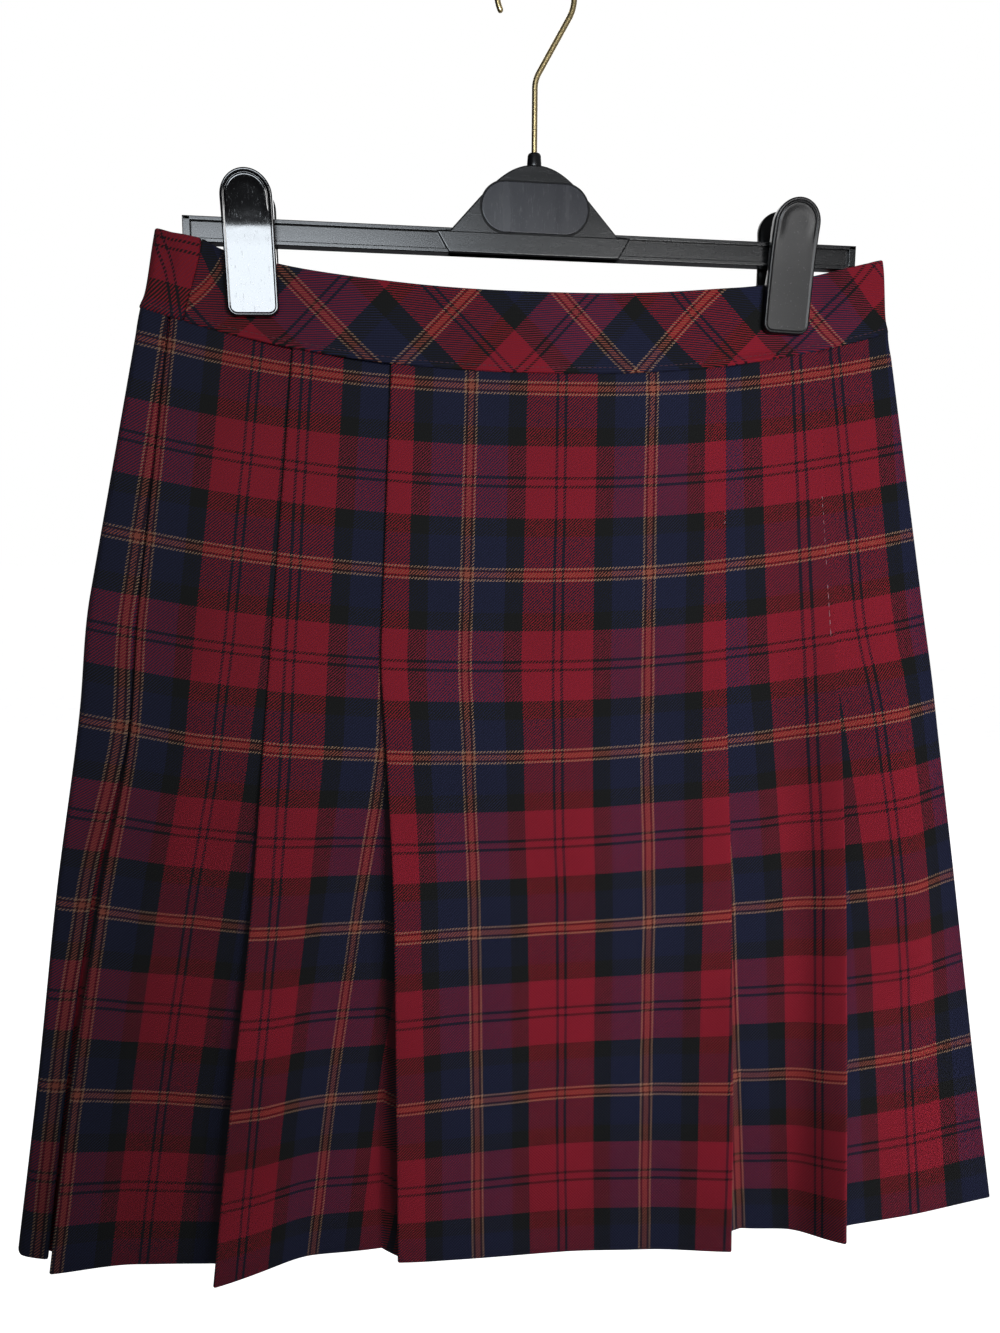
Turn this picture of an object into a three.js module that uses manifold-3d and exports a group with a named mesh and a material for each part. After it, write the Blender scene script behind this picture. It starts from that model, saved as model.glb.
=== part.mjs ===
// A knee-length pleated tartan skirt, pegged by its waistband to a clip hanger.
// Millimetres. +Z is up, -Y is the skirt's front, +X is to the right as it is seen from the front.
// The origin is the inside of the hook's top, where a rail carries the hanger.

import * as THREE from 'three';
import { mergeVertices } from 'three/addons/utils/BufferGeometryUtils.js';
import Module from 'manifold-3d';

const wasm = await Module();
wasm.setup();

// ---------------------------------------------------------------- driving dimensions

const SEAM_GAP = 0.3;               // air between two pieces that are sewn or pressed together

// skirt cloth
const CLOTH_WALL = 1.0;             // wall of one layer of the pleated cloth
const LAYER_PITCH = 1.5;            // from layer to layer inside a pressed pleat
const SKIRT_DROP = 490;             // band seam to hem, along the cloth, at the centre
const SIDE_EXTRA = 0.014;           // share by which the cloth is longer at HALF_WAIST from the centre

// waistband
const BAND_WALL = 2.4;              // folded and faced, so thicker than the skirt
const BAND_HEIGHT = 39;
const SEAM_Z_CENTRE = -206;         // height of the band seam at the centre
const SEAM_RISE = 28;               // the seam climbs by this much at HALF_WAIST
const SEAM_POWER = 2.2;
const HALF_WAIST = 200;

// hanger
const HOOK_WIRE = 3;
const HOOK_RADIUS = 20;             // centre line of the hook's arc
const HOOK_BEND_Z = -59;            // where the straight stem ends and the slant begins
const HOOK_FOOT_Z = -108;           // end of the wire, inside the neck
const HOOK_END_ANGLE = 205;         // degrees, where the arc stops
const BAR_HALF = 178;               // half the hanger's width
const BAR_TOP_Z = -134;
const BAR_HEIGHT = 12.5;
const BAR_DEPTH = 8;
const BAR_LEDGE = 2.2;              // height of the top and bottom ledges of the channel bar
const BAR_RECESS = 2;               // depth of the channel on each face
const CREST_HALF = 44;              // half width of the crest at the bar
const CREST_TOP_Z = -101.5;
const NECK_TOP_Z = -94.8;
const NECK_RADIUS = 3.8;
const BADGE_WIDTH = 56;
const BADGE_HEIGHT = 25;
const BADGE_THICK = 1.4;
const BADGE_Z = -123;
const BADGE_POCKET = 0.9;           // depth of the pocket that the badge plate sits in
const CREST_PROUD = 0.5;            // the crest's faces stand out from the bar's by this much
const FLANK = { x: 28.5, drop: 16.5 };   // where the crest's straight flanks end, below its top

// clips
const CLIP_WIDTH = 25.5;
const CLIP_TOP_Z = -113.5;
const CLIP_BOTTOM_Z = -182;
const CLIP_X = { left: -145.5, right: 140 };
const CLIP_TILT = { left: 0.03, right: -0.035 };   // radians, the lower ends lean inwards
const SPRING_WIDTH = 11;
const SPRING_THICK = 0.8;
const SPRING_INNER = 4.8;           // from the bar's middle to the strip's inner face
const SPRING_FOOT_Z = -146;
const RIB = { half: 6, reach: 7, z0: -150.4, z1: -147.2 };   // on which the two levers rock, under the bar

// ---------------------------------------------------------------- materials

const material = (name, color, roughness, metalness = 0) =>
  new THREE.MeshStandardMaterial({ name, color, roughness, metalness });

const wool = material('tartan_wool', 0x4a1f2c, 0.9);
const bandWool = material('tartan_wool_band', 0x4a1f2c, 0.9);
const plastic = material('hanger_plastic', 0x2b2b2e, 0.4);
const badgePlastic = material('badge_plastic', 0x33343a, 0.25);
const glossPlastic = material('clip_plastic', 0x26262a, 0.15);
const brass = material('hook_brass', 0xcdb77e, 0.3, 1);
const steel = material('spring_steel', 0x9c9ea0, 0.35, 1);

// ---------------------------------------------------------------- small helpers

// A smooth value at v through the rows of a table: cubic, and never past the values it joins.
// With straightFirst the first span is a straight line.
function along(levels, values, v, straightFirst = false) {
  const last = levels.length - 1;
  let i = 0;
  while (i < last - 1 && v > levels[i + 1]) i += 1;
  const secant = (k) => (values[k + 1] - values[k]) / (levels[k + 1] - levels[k]);
  const slope = (k) => {
    if (k === 0 || (straightFirst && k === 1)) return secant(0);
    if (k === last) return secant(last - 1);
    const [a, b] = [secant(k - 1), secant(k)];
    return a * b <= 0 ? 0 : 2 * a * b / (a + b);
  };
  const span = levels[i + 1] - levels[i];
  const t = (v - levels[i]) / span;
  const h00 = (1 + 2 * t) * (1 - t) ** 2;
  const h10 = t * (1 - t) ** 2;
  const h01 = t * t * (3 - 2 * t);
  const h11 = t * t * (t - 1);
  return h00 * values[i] + h10 * span * slope(i) + h01 * values[i + 1] + h11 * span * slope(i + 1);
}

// A smooth plan line through named points, with `steps` pieces from each point to the next.
function smoothLine(points, steps) {
  const index = points.map((_, k) => k);
  const [xs, ys] = [points.map((p) => p.x), points.map((p) => p.y)];
  const count = steps * (points.length - 1);
  return Array.from({ length: count + 1 }, (_, k) =>
    new THREE.Vector2(along(index, xs, k / steps), along(index, ys, k / steps)));
}

const seamZ = (x) => SEAM_Z_CENTRE + SEAM_RISE * (Math.abs(x) / HALF_WAIST) ** SEAM_POWER;

function signedVolume(positions, faces) {
  let volume = 0;
  const [a, b, c] = [new THREE.Vector3(), new THREE.Vector3(), new THREE.Vector3()];
  for (let f = 0; f < faces.length; f += 3) {
    a.fromArray(positions, 3 * faces[f]);
    b.fromArray(positions, 3 * faces[f + 1]);
    c.fromArray(positions, 3 * faces[f + 2]);
    volume += a.dot(b.cross(c)) / 6;
  }
  return volume;
}

// A mesh of one closed body, its faces turned outwards whichever way they were listed.
function closedMesh(name, positions, faces, look) {
  if (signedVolume(positions, faces) < 0) faces.reverse();
  const geometry = new THREE.BufferGeometry();
  geometry.setAttribute('position', new THREE.Float32BufferAttribute(positions, 3));
  geometry.setIndex(faces);
  geometry.computeVertexNormals();
  const mesh = new THREE.Mesh(geometry, look);
  mesh.name = name;
  return mesh;
}

// Mitred normals of a plan line, so that a wall of even thickness follows its corners.
function mitres(points) {
  const last = points.length - 1;
  return points.map((p, i) => {
    const before = points[Math.max(i - 1, 0)];
    const after = points[Math.min(i + 1, last)];
    const u = new THREE.Vector2(p.x - before.x, p.y - before.y);
    const w = new THREE.Vector2(after.x - p.x, after.y - p.y);
    if (i === 0) u.copy(w);
    if (i === last) w.copy(u);
    u.normalize();
    w.normalize();
    const sum = u.clone().add(w);
    const cosHalf = Math.max(sum.length() / 2, 0.75);
    sum.normalize();
    return new THREE.Vector2(-sum.y, sum.x).divideScalar(cosHalf);
  });
}

// A wall of cloth: rows of middle points, thickened to both sides in plan and closed all round.
function clothWall(name, rows, thickness, look) {
  const columns = rows[0].length;
  const positions = [];
  for (const row of rows) {
    const normals = mitres(row);
    for (const side of [1, -1]) {
      row.forEach((p, i) => {
        const offset = normals[i].clone().multiplyScalar(side * thickness / 2);
        const x = p.x + offset.x;
        positions.push(x, p.y + offset.y, p.z + seamZ(x) - seamZ(p.x));   // both faces follow the seam's rise
      });
    }
  }
  const at = (row, side, column) => (2 * row + side) * columns + column;
  const faces = [];
  const quad = (a, b, c, d) => faces.push(a, b, c, a, c, d);
  for (let r = 0; r < rows.length - 1; r += 1) {
    for (let c = 0; c < columns - 1; c += 1) {
      quad(at(r, 0, c), at(r + 1, 0, c), at(r + 1, 0, c + 1), at(r, 0, c + 1));
      quad(at(r, 1, c), at(r, 1, c + 1), at(r + 1, 1, c + 1), at(r + 1, 1, c));
    }
    const end = columns - 1;
    quad(at(r, 0, 0), at(r, 1, 0), at(r + 1, 1, 0), at(r + 1, 0, 0));
    quad(at(r, 0, end), at(r + 1, 0, end), at(r + 1, 1, end), at(r, 1, end));
  }
  const foot = rows.length - 1;
  for (let c = 0; c < columns - 1; c += 1) {
    quad(at(0, 0, c), at(0, 0, c + 1), at(0, 1, c + 1), at(0, 1, c));
    quad(at(foot, 0, c), at(foot, 1, c), at(foot, 1, c + 1), at(foot, 0, c + 1));
  }
  return closedMesh(name, positions, faces, look);
}

// ---------------------------------------------------------------- skirt sections

// Distances below the band seam, along the cloth, at which the sections are named.
const LEVELS = [0, 145, 204, 301, 399, SKIRT_DROP];
//              seam, end of the pleat stitching, upper, middle, lower, hem
const ROW_DROPS = [0, 10, 50, 100, 145, 172, 204, 250, 301, 350, 399, 445, SKIRT_DROP];

// Each line of cloth that a section runs through, from the centre outwards: x and y at LEVELS.
// fold: the outer edge of a pleat; step: where the next panel comes out from under it;
// mid: the middle of the next panel; tip: the side seam.
// under: the turn hidden below a fold, its depth behind the fold's edge and how far it stands open.
const FRONT_CENTRE = {
  left_quarter:  { x: [-40, -40, -40, -40, -42, -42], y: [-11.3, -19.5, -26, -27.5, -30, -35] },
  centre:        { x: [14, 12, 12, 15, 16, 16],       y: [-12.5, -18, -22, -23.5, -25, -35.5] },
  right_quarter: { x: [62, 62, 62, 64, 64, 62],       y: [-10.6, -17.5, -20, -25, -30, -42] },
};
const FRONT_LEFT = {
  fold1:  { x: [-75, -82, -80, -77, -77, -77],        y: [-9.5, -23, -30, -36, -37, -36] },
  under1: { depth: [29, 27, 22, 14, 7, 4],            open: [0, 0, 0.5, 2, 2, 1] },
  step1:  { x: [-75, -82, -81, -82, -84, -86],        y: [-6.5, -20, -25.5, -18.5, -21, -23] },
  mid2:   { x: [-100, -110, -112, -116, -119, -124],  y: [-5, -20, -27, -26, -28, -28] },
  fold2:  { x: [-125, -138, -143, -152, -164, -174],  y: [-4.5, -21, -29, -35.5, -44, -52] },
  under2: { depth: [34, 32, 31, 27, 23, 22],          open: [0, 0, 0.5, 2, 3, 4] },
  step2:  { x: [-125, -138, -143, -155, -167, -177],  y: [-1.5, -18, -25, -25.5, -29, -33] },
  mid3:   { x: [-155, -172, -180, -192, -207, -216],  y: [-2.6, -16, -22, -20.5, -25, -34] },
  fold3:  { x: [-185, -204, -209, -228, -243, -256],  y: [-3.8, -15, -21, -24, -33, -48] },
  under3: { depth: [24, 24, 23, 22, 22, 22],          open: [0, 0, 1, 3, 4, 4] },
  step3:  { x: [-185, -204, -208, -228, -243, -256],  y: [-0.8, -12, -16.2, -15, -21, -32] },
  tip:    { x: [-195, -214, -222, -245, -261, -273],  y: [-0.8, -11.7, -14.3, -12, -18, -26] },
};
const FRONT_RIGHT = {
  fold1:  { x: [105, 106, 107, 110, 110, 108],        y: [-7.5, -19, -25, -33, -45, -57] },
  under1: { depth: [30, 29, 27, 25, 23, 22],          open: [0, 0, 0.5, 2, 3, 4] },
  step1:  { x: [105, 106, 109, 117, 119, 121],        y: [-4.5, -16, -21, -23, -31, -38] },
  mid2:   { x: [130, 137, 139, 142, 143, 144],        y: [-4.2, -16, -22.5, -28.5, -40, -47] },
  fold2:  { x: [158, 168, 169, 171, 170, 168],        y: [-3.9, -20, -32, -45, -59, -72] },
  under2: { depth: [34, 33, 31, 27, 23, 21],          open: [0, 0, 0.5, 2, 3, 4] },
  step2:  { x: [158, 168, 172, 179, 181, 180],        y: [-0.9, -17, -28, -37, -45, -56] },
  mid3:   { x: [178, 196, 199, 210, 218, 222],        y: [-2.6, -18, -32, -41, -46, -58] },
  fold3:  { x: [199.5, 222, 227, 240, 252, 261.5],    y: [-3.2, -15, -27, -36, -46, -60] },
  tip:    { x: [191, 213, 217, 229, 240, 249],        y: [-0.9, -12.7, -20.5, -26, -34, -45] },
};
const BACK_CENTRE = {
  left_quarter:  { x: [-60, -60, -60, -60, -60, -60], y: [9, 14.4, 16.3, 19.4, 21.3, 25] },
  centre:        { x: [-14, -12, -12, -12, -12, -12], y: [9.8, 15, 17, 19, 21, 24] },
  right_quarter: { x: [34, 36, 38, 38, 40, 42],       y: [9, 14.4, 16.3, 19.4, 21.3, 25] },
};
const BACK_LEFT = {
  fold1:  { x: [-105, -109, -110, -111, -112, -113],  y: [7.5, 13, 15, 20, 22, 27] },
  under1: { depth: [30, 30, 28, 24, 20, 17],          open: [0, 0, 0.5, 2, 3, 4] },
  step1:  { x: [-105, -109, -110, -113, -116, -119],  y: [4.5, 10, 12, 10, 10, 12] },
  mid2:   { x: [-130, -143, -147, -150, -155, -160],  y: [4.5, 9.5, 11.5, 13, 14, 17] },
  fold2:  { x: [-156, -178, -184, -192, -200, -208],  y: [4.5, 10, 13, 19, 22, 28] },
  under2: { depth: [30, 30, 29, 25, 22, 20],          open: [0, 0, 0.5, 2, 3, 4] },
  step2:  { x: [-156, -178, -184, -194, -203, -211],  y: [1.5, 7, 10, 8, 9, 12] },
  mid3:   { x: [-180, -206, -212, -226, -237, -248],  y: [3.4, 6, 6.5, 4, 2, 2] },
  bend_a: { x: [-198, -225, -231, -247, -259, -272],  y: [2.8, 1, -3, -7, -11, -15] },
  bend_b: { x: [-200, -229, -236, -252, -265, -278],  y: [0, -8, -12, -15, -20, -26] },
  bend_c: { x: [-197.6, -226, -233, -249, -262, -275], y: [-3.2, -14, -18, -19.5, -26, -34] },
  fold3:  { x: [-186.9, -205.9, -216, -238, -253.5, -265], y: [-3.9, -15.1, -19, -18, -25, -37] },
  tip:    { x: [-194, -213, -221, -244, -260, -272],  y: [-2.2, -13.2, -15.9, -14, -20.3, -29.5] },
};
const BACK_RIGHT = {
  fold1:  { x: [77, 84, 87, 90, 93, 96],              y: [7.5, 13, 15, 20, 22, 27] },
  under1: { depth: [30, 30, 28, 24, 20, 17],          open: [0, 0, 0.5, 2, 3, 4] },
  step1:  { x: [77, 84, 87, 92, 96, 101],             y: [4.5, 10, 12, 10, 10, 12] },
  mid2:   { x: [104, 116, 122, 130, 137, 145],        y: [4.4, 9.5, 11.5, 13, 14, 17] },
  fold2:  { x: [132, 149, 157, 168, 178, 190],        y: [4.3, 10, 13, 19, 22, 28] },
  under2: { depth: [30, 30, 29, 25, 22, 20],          open: [0, 0, 0.5, 2, 3, 4] },
  step2:  { x: [132, 149, 157, 170, 181, 193],        y: [1.3, 7, 10, 8, 9, 12] },
  mid3:   { x: [165, 188, 195, 211, 223, 235],        y: [2.2, 4, 3, 0, -4, -6] },
  fold3:  { x: [199.5, 222.5, 228, 242, 254, 263.5],  y: [2.8, -9.2, -15.5, -19, -27, -38] },
  tip:    { x: [191, 213, 217, 229, 240, 249],        y: [0.4, -11.4, -19.2, -24.7, -32.7, -43.7] },
};

// A named value at a distance v below the seam: straight while the pleats are stitched.
const valueAt = (values, v) => along(LEVELS, values, v, true);
const lineAt = (line, v) => new THREE.Vector2(valueAt(line.x, v), valueAt(line.y, v));

const PANEL_STEPS = 2;              // pieces from each named line of a panel to the next
const UNDER_STEPS = 2;              // pieces between the two turns of a hidden layer

// The place on a line of points at a distance back from its end, moved out along its normal.
// `hand` is +1 or -1: the side of the line, seen along it, that the normal points to.
function besideLine(points, back, away, hand) {
  let i = points.length - 1;
  let left = back;
  let length = points[i].distanceTo(points[i - 1]);
  while (i > 1 && left > length) {
    left -= length;
    i -= 1;
    length = points[i].distanceTo(points[i - 1]);
  }
  const run = points[i].clone().sub(points[i - 1]).divideScalar(length);
  return points[i].clone().addScaledVector(run, -left).addScaledVector(new THREE.Vector2(-run.y, run.x), hand * away);
}

// The three points of a pressed fold: the layer comes along `run` and goes back a pitch beside it.
function turn(path, edge, run, hand) {
  const r = LAYER_PITCH / 2;
  const side = new THREE.Vector2(-run.y, run.x).multiplyScalar(hand);
  const start = edge.clone().addScaledVector(run, -r);
  path.push(start, edge.clone().addScaledVector(side, r), start.clone().addScaledVector(side, 2 * r));
}

// The panel that ends in a fold, the fold's turn, and the layer under it as far as the side seam
// or, where there is an inner turn, as far as the step from which the next panel starts.
function pleat(path, panelLine, under, end, v, hand) {
  const edge = panelLine.at(-1);
  path.push(...panelLine.slice(1, -1));
  const run = edge.clone().sub(panelLine.at(-2)).normalize();
  turn(path, edge, run, hand);
  if (!under) {
    path.push(end);
    return;
  }
  const [depth, open] = [valueAt(under.depth, v), valueAt(under.open, v)];
  const layer = (f, layers) => besideLine(panelLine, f * depth, layers * LAYER_PITCH + f * open, hand);
  for (let k = 1; k < UNDER_STEPS; k += 1) path.push(layer(k / UNDER_STEPS, 1));
  const innerRun = layer(1, 1).sub(layer(0.8, 1)).normalize();
  turn(path, layer(1, 1), innerRun, -hand);
  const shift = end.clone().sub(layer(0, 2));
  for (let k = UNDER_STEPS - 1; k > 0; k -= 1) {
    const f = k / UNDER_STEPS;
    path.push(layer(f, 2).addScaledVector(shift, 1 - f));
  }
  path.push(end);
}

// Half of a wall's section, from the centre line outwards to the side seam.
// `hand` is the side, seen along the path, on which the inside of the skirt lies.
function halfSection(centreLine, table, v, hand) {
  const p = (name) => lineAt(table[name], v);
  const path = [];
  pleat(path, [...centreLine, p('fold1')], table.under1, p('step1'), v, hand);
  pleat(path, smoothLine([p('step1'), p('mid2'), p('fold2')], PANEL_STEPS), table.under2, p('step2'), v, hand);
  const bend = ['bend_a', 'bend_b', 'bend_c'].filter((name) => table[name]);
  const last = smoothLine(['step2', 'mid3', ...bend, 'fold3'].map(p), PANEL_STEPS);
  pleat(path, last, table.under3, p(table.under3 ? 'step3' : 'tip'), v, hand);
  if (table.under3) path.push(p('tip'));
  return path;
}

function wholeSection(centre, left, right, v, hand) {
  const names = ['left_quarter', 'centre', 'right_quarter'];
  const through = [lineAt(left.fold1, v), ...names.map((name) => lineAt(centre[name], v)), lineAt(right.fold1, v)];
  const across = smoothLine(through, PANEL_STEPS);
  const middle = PANEL_STEPS * 2;
  const toLeft = across.slice(1, middle + 1).reverse();
  const toRight = across.slice(middle, -1);
  const leftHalf = halfSection(toLeft, left, v, -hand).reverse();
  const rightHalf = halfSection(toRight, right, v, hand);
  return [...leftHalf, toRight[0], ...rightHalf];
}

// The rows of a skirt wall. The first hangs from the seam; each next one is a cloth's length lower.
function skirtRows(centre, left, right, hand) {
  const rows = [];
  let above = null;
  let dropAbove = 0;
  let stretch = [];
  for (const v of ROW_DROPS) {
    const plan = wholeSection(centre, left, right, v, hand);
    const row = plan.map((p, i) => {
      if (!above) return new THREE.Vector3(p.x, p.y, seamZ(p.x) - SEAM_GAP);
      const length = (v - dropAbove) * stretch[i];
      const sideways = Math.hypot(p.x - above[i].x, p.y - above[i].y);
      const down = Math.sqrt(Math.max(length ** 2 - sideways ** 2, (0.9 * length) ** 2));
      return new THREE.Vector3(p.x, p.y, above[i].z - down);
    });
    if (!above) stretch = row.map((p) => 1 + SIDE_EXTRA * (p.x / HALF_WAIST) ** 2);
    rows.push(row);
    above = row;
    dropAbove = v;
  }
  return rows;
}

// ---------------------------------------------------------------- waistband sections

// The band's plan line at its top edge, level with the bar's foot, at the clips' foot and at the seam.
const BAND_LEVELS = [0, 6, 34, BAND_HEIGHT];
const BAND_ROW_DROPS = [0, 6, 20, 34, BAND_HEIGHT];
const PINCH = BAND_WALL / 2 + SEAM_GAP / 2;        // half the distance between the pinched bands
const CLEAR = BAR_DEPTH / 2 + BAND_WALL / 2 + 0.7; // where the band's top passes the ends of the bar
const BAND_FRONT = [
  { at: 'side seam, left',    x: [-184, -183, -179, -178],     y: [-4.6, -4.2, -3.2, -3.4] },
  { at: 'bar end, left',      x: [-173, -173, -172, -172],     y: [-CLEAR, -CLEAR, -2.6, -3] },
  { at: 'left clip, outside', x: [-159.5, -159.5, -160, -160], y: [-PINCH, -PINCH, -PINCH, -2.6] },
  { at: 'left clip, inside',  x: [-131, -131, -131, -131],     y: [-PINCH, -PINCH, -PINCH, -3.8] },
  { at: 'left of centre',     x: [-75, -75, -75, -75],         y: [-8, -8, -8.4, -8.8] },
  { at: 'centre',             x: [13, 13, 14, 14],             y: [-11.4, -11.5, -11.8, -12] },
  { at: 'right of centre',    x: [95, 95, 97, 98],             y: [-6, -6, -6.6, -7.6] },
  { at: 'right clip, inside', x: [125, 125, 125, 125],         y: [-PINCH, -PINCH, -PINCH, -4.2] },
  { at: 'right clip, outside', x: [154.5, 154.5, 154, 154],    y: [-PINCH, -PINCH, -PINCH, -3.4] },
  { at: 'bar end, right',     x: [173, 173, 174, 174],         y: [-CLEAR, -CLEAR, -2.8, -3] },
  { at: 'right end, front',   x: [185, 187, 190, 192],         y: [-4.6, -4.2, -3.2, -3.1] },
  { at: 'right end, bend',    x: [190.4, 192, 196.6, 198.6],   y: [-1.6, -1.6, -1.6, -1.4] },
  { at: 'side seam, right',   x: [191, 192.6, 197.2, 199.2],   y: [0.6, 0.6, 0.5, 0.4] },
];
const BAND_BACK = [
  { at: 'side seam, left',    x: [-186.7, -185.7, -181.7, -180.7], y: [-4, -3.8, -3.2, -3.4] },
  { at: 'left end, bend 1',   x: [-189, -190, -195, -196.8],     y: [-2.8, -2.8, -2.6, -2.6] },
  { at: 'left end, bend 2',   x: [-190.8, -192, -197.4, -199.2], y: [0, 0, 0, 0] },
  { at: 'left end, bend 3',   x: [-189, -190, -195, -196.8],     y: [2.8, 2.8, 2.6, 2.6] },
  { at: 'left end, back',     x: [-184, -184, -186, -186],     y: [4.8, 4.4, 2.9, 3] },
  { at: 'bar end, left',      x: [-173, -173, -172, -172],     y: [CLEAR, CLEAR, 2.6, 3.1] },
  { at: 'left clip, outside', x: [-159.5, -159.5, -160, -160], y: [PINCH, PINCH, PINCH, 3.4] },
  { at: 'left clip, inside',  x: [-131, -131, -131, -131],     y: [PINCH, PINCH, PINCH, 4] },
  { at: 'left of centre',     x: [-80, -80, -80, -80],         y: [6, 6, 6.6, 7.2] },
  { at: 'centre',             x: [-14, -14, -14, -14],         y: [8.6, 8.6, 9, 9.2] },
  { at: 'right of centre',    x: [75, 75, 75, 75],             y: [6, 6, 6.6, 7.2] },
  { at: 'right clip, inside', x: [125, 125, 125, 125],         y: [PINCH, PINCH, PINCH, 3.6] },
  { at: 'right clip, outside', x: [154.5, 154.5, 154, 154],    y: [PINCH, PINCH, PINCH, 2.6] },
  { at: 'bar end, right',     x: [173, 173, 174, 174],         y: [CLEAR, CLEAR, 2.6, 2.6] },
  { at: 'side seam, right',   x: [187.6, 189.2, 195, 197.4],   y: [4.2, 4, 3.3, 3.1] },
];

const BAND_STEPS = 2;               // pieces from each named line of the band to the next

function bandRows(table) {
  return BAND_ROW_DROPS.map((v) => {
    const through = table.map((line) =>
      new THREE.Vector2(along(BAND_LEVELS, line.x, v), along(BAND_LEVELS, line.y, v)));
    const seam = table.map((line) => new THREE.Vector2(line.x.at(-1), line.y.at(-1)));
    const plan = smoothLine(through, BAND_STEPS);
    const foot = smoothLine(seam, BAND_STEPS);
    return plan.map((p, i) => new THREE.Vector3(p.x, p.y, seamZ(foot[i].x) + BAND_HEIGHT - v));
  });
}

// ---------------------------------------------------------------- hanger

const toSolid = (source) => {
  const plain = source.clone();
  plain.deleteAttribute('normal');
  plain.deleteAttribute('uv');
  const merged = mergeVertices(plain, 1e-4);
  return new wasm.Manifold(new wasm.Mesh({
    numProp: 3,
    vertProperties: new Float32Array(merged.attributes.position.array),
    triVerts: new Uint32Array(merged.index.array),
  }));
};

function solidMesh(name, solid, look) {
  const { vertProperties, triVerts } = solid.getMesh();
  return closedMesh(name, Array.from(vertProperties), Array.from(triVerts), look);
}

// An outline in X and Z, pushed from y0 to y1.
function plateXZ(shape, y0, y1, curveSegments = 10) {
  const geometry = new THREE.ExtrudeGeometry(shape, { depth: y1 - y0, bevelEnabled: false, curveSegments });
  geometry.rotateX(Math.PI / 2);          // the shape's Y becomes Z, and the depth runs towards -Y
  geometry.translate(0, y1, 0);
  return geometry;
}

// An outline in Y and Z, pushed from x0 to x1.
function plateYZ(points, x0, x1) {
  const shape = new THREE.Shape(points.map(([y, z]) => new THREE.Vector2(y, z)));
  const geometry = new THREE.ExtrudeGeometry(shape, { depth: x1 - x0, bevelEnabled: false });
  geometry.rotateX(Math.PI / 2);
  geometry.rotateZ(Math.PI / 2);          // the shape's X becomes Y, its Y becomes Z, the depth runs along X
  geometry.translate(x0, 0, 0);
  return geometry;
}

function box(x0, x1, y0, y1, z0, z1) {
  const geometry = new THREE.BoxGeometry(x1 - x0, y1 - y0, z1 - z0);
  geometry.translate((x0 + x1) / 2, (y0 + y1) / 2, (z0 + z1) / 2);
  return geometry;
}

function roundedOutline(halfWidth, top, bottom, topRadius, bottomRadius) {
  const shape = new THREE.Shape();
  shape.moveTo(-halfWidth + bottomRadius, bottom);
  shape.lineTo(halfWidth - bottomRadius, bottom);
  shape.absarc(halfWidth - bottomRadius, bottom + bottomRadius, bottomRadius, -Math.PI / 2, 0, false);
  shape.lineTo(halfWidth, top - topRadius);
  shape.absarc(halfWidth - topRadius, top - topRadius, topRadius, 0, Math.PI / 2, false);
  if (topRadius < halfWidth) shape.lineTo(-halfWidth + topRadius, top);
  shape.absarc(-halfWidth + topRadius, top - topRadius, topRadius, Math.PI / 2, Math.PI, false);
  shape.lineTo(-halfWidth, bottom + bottomRadius);
  shape.absarc(-halfWidth + bottomRadius, bottom + bottomRadius, bottomRadius, Math.PI, 1.5 * Math.PI, false);
  return shape;
}

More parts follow.
